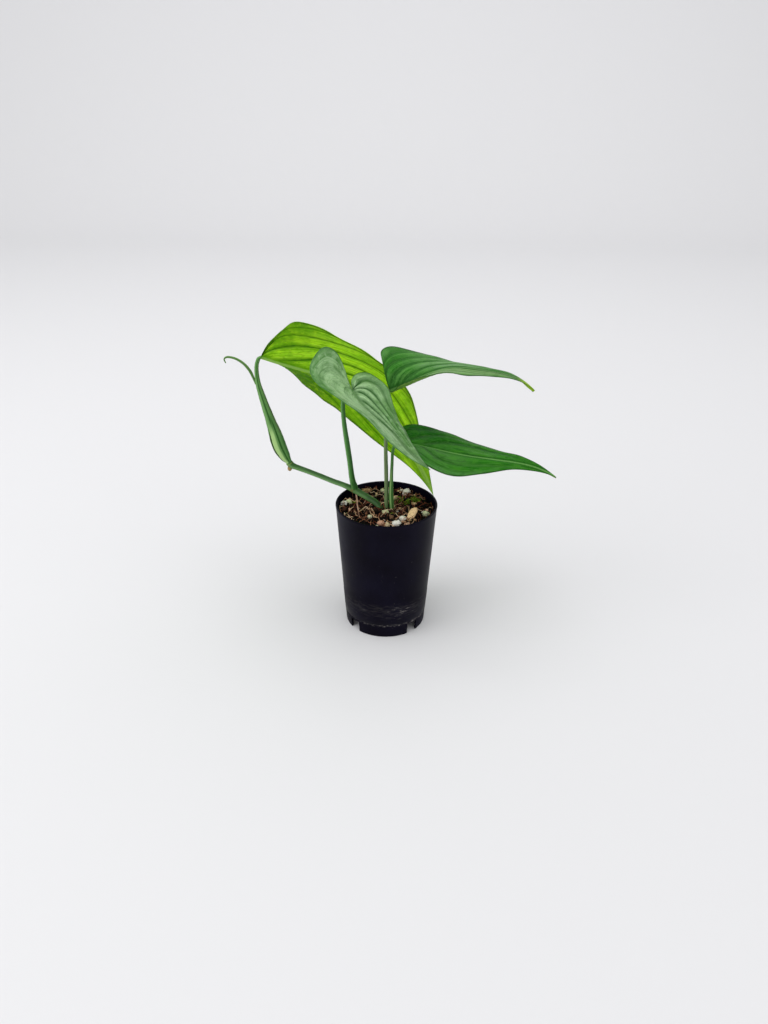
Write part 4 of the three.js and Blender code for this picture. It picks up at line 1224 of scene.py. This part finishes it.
# Tones of each finish, from a share of 0 to 1, its roughness, the depth of its bumps in metres, the
# scale of its grain and the colour of its specks
mixLooks = {
    # The mix body is near black: partly the mix's own dark colour, partly painted shade in the deep gaps
    # between chunks
    "darkMix": {"tones": [(0.0, (6, 4, 3)), (0.4, (18, 12, 9))], "rough": 0.9, "bump": 0.0006, "scale": 500,
                "specks": (40, 28, 20)},
    "perlite": {"tones": [(0.0, (200, 150, 126)), (0.2, (206, 172, 144)), (0.45, (206, 206, 160)),
                          (0.6, (190, 196, 158)), (0.85, (216, 212, 198)), (1.0, (230, 228, 222))],
                "rough": 0.85, "bump": 0.0004, "scale": 1500, "specks": (166, 150, 122)},
    "barkChip": {"tones": [(0.0, (8, 6, 5)), (0.4, (20, 14, 11)), (0.6, (66, 44, 34)),
                           (0.78, (146, 110, 82)), (0.95, (232, 198, 152))],
                 "rough": 0.85, "bump": 0.0005, "scale": 700, "specks": (30, 20, 14)},
    "coirFibre": {"tones": [(0.0, (64, 30, 20)), (0.3, (128, 70, 50)), (0.55, (176, 122, 92)),
                            (0.8, (206, 166, 130)), (1.0, (232, 204, 170))], "rough": 0.8, "bump": 0.0001},
    "moss": {"tones": [(0.0, (40, 66, 10)), (0.5, (84, 116, 22)), (1.0, (146, 170, 56))], "rough": 0.7,
             "bump": 0.0002},
}


def mixFinish(name):
    look = mixLooks[name]
    finish = Finish(name)
    place = finish.objectPlace()
    grain = finish.noise(place, look.get("scale", 900), 5, 0.65)
    value = finish.math("MULTIPLY_ADD", finish.math("SUBTRACT", grain, 0.5), 0.5, finish.number("tone"))
    colour = finish.ramp(value, *look["tones"])
    if "specks" in look:
        specks = finish.between(finish.noise(place, 1600, 3, 0.6), 0.56, 0.72)
        colour = finish.colours(specks, colour, look["specks"])
    gloss = finish.between(grain, 0.2, 0.8, look["rough"] - 0.1, look["rough"] + 0.1)
    bumps = finish.bumped(grain, look["bump"], 0.8)
    return finish.surface(colour, Roughness=gloss, Specular_IOR_Level=0.1, Normal=bumps)


addMixBody(mixFinish("darkMix"))
grains, chips, fibres, moss = Heap(), Heap(), Heap(), Heap()
scatterRandom = seededRandom(scattered["seed"])
addNotable(scatterRandom, grains, chips)
addScattered(scatterRandom, grains, chips)
litterRandom = seededRandom(litter["seed"])
addLitter(litterRandom, grains, chips)
addThreads(litterRandom, fibres)
addMoss(litterRandom, moss)
for heap, pieceName, finishName, slotName in (
        (grains, "perliteGrains", "perlite", "perlite"), (chips, "barkChips", "barkChip", "bark_mix"),
        (fibres, "coirFibres", "coirFibre", "bark_mix"), (moss, "mossTufts", "moss", "bark_mix")):
    addPiece(pieceName, heap.points, heap.faces, [mixFinish(finishName)],
             numbers={"tone": heap.tones})
print("potting mix ready")
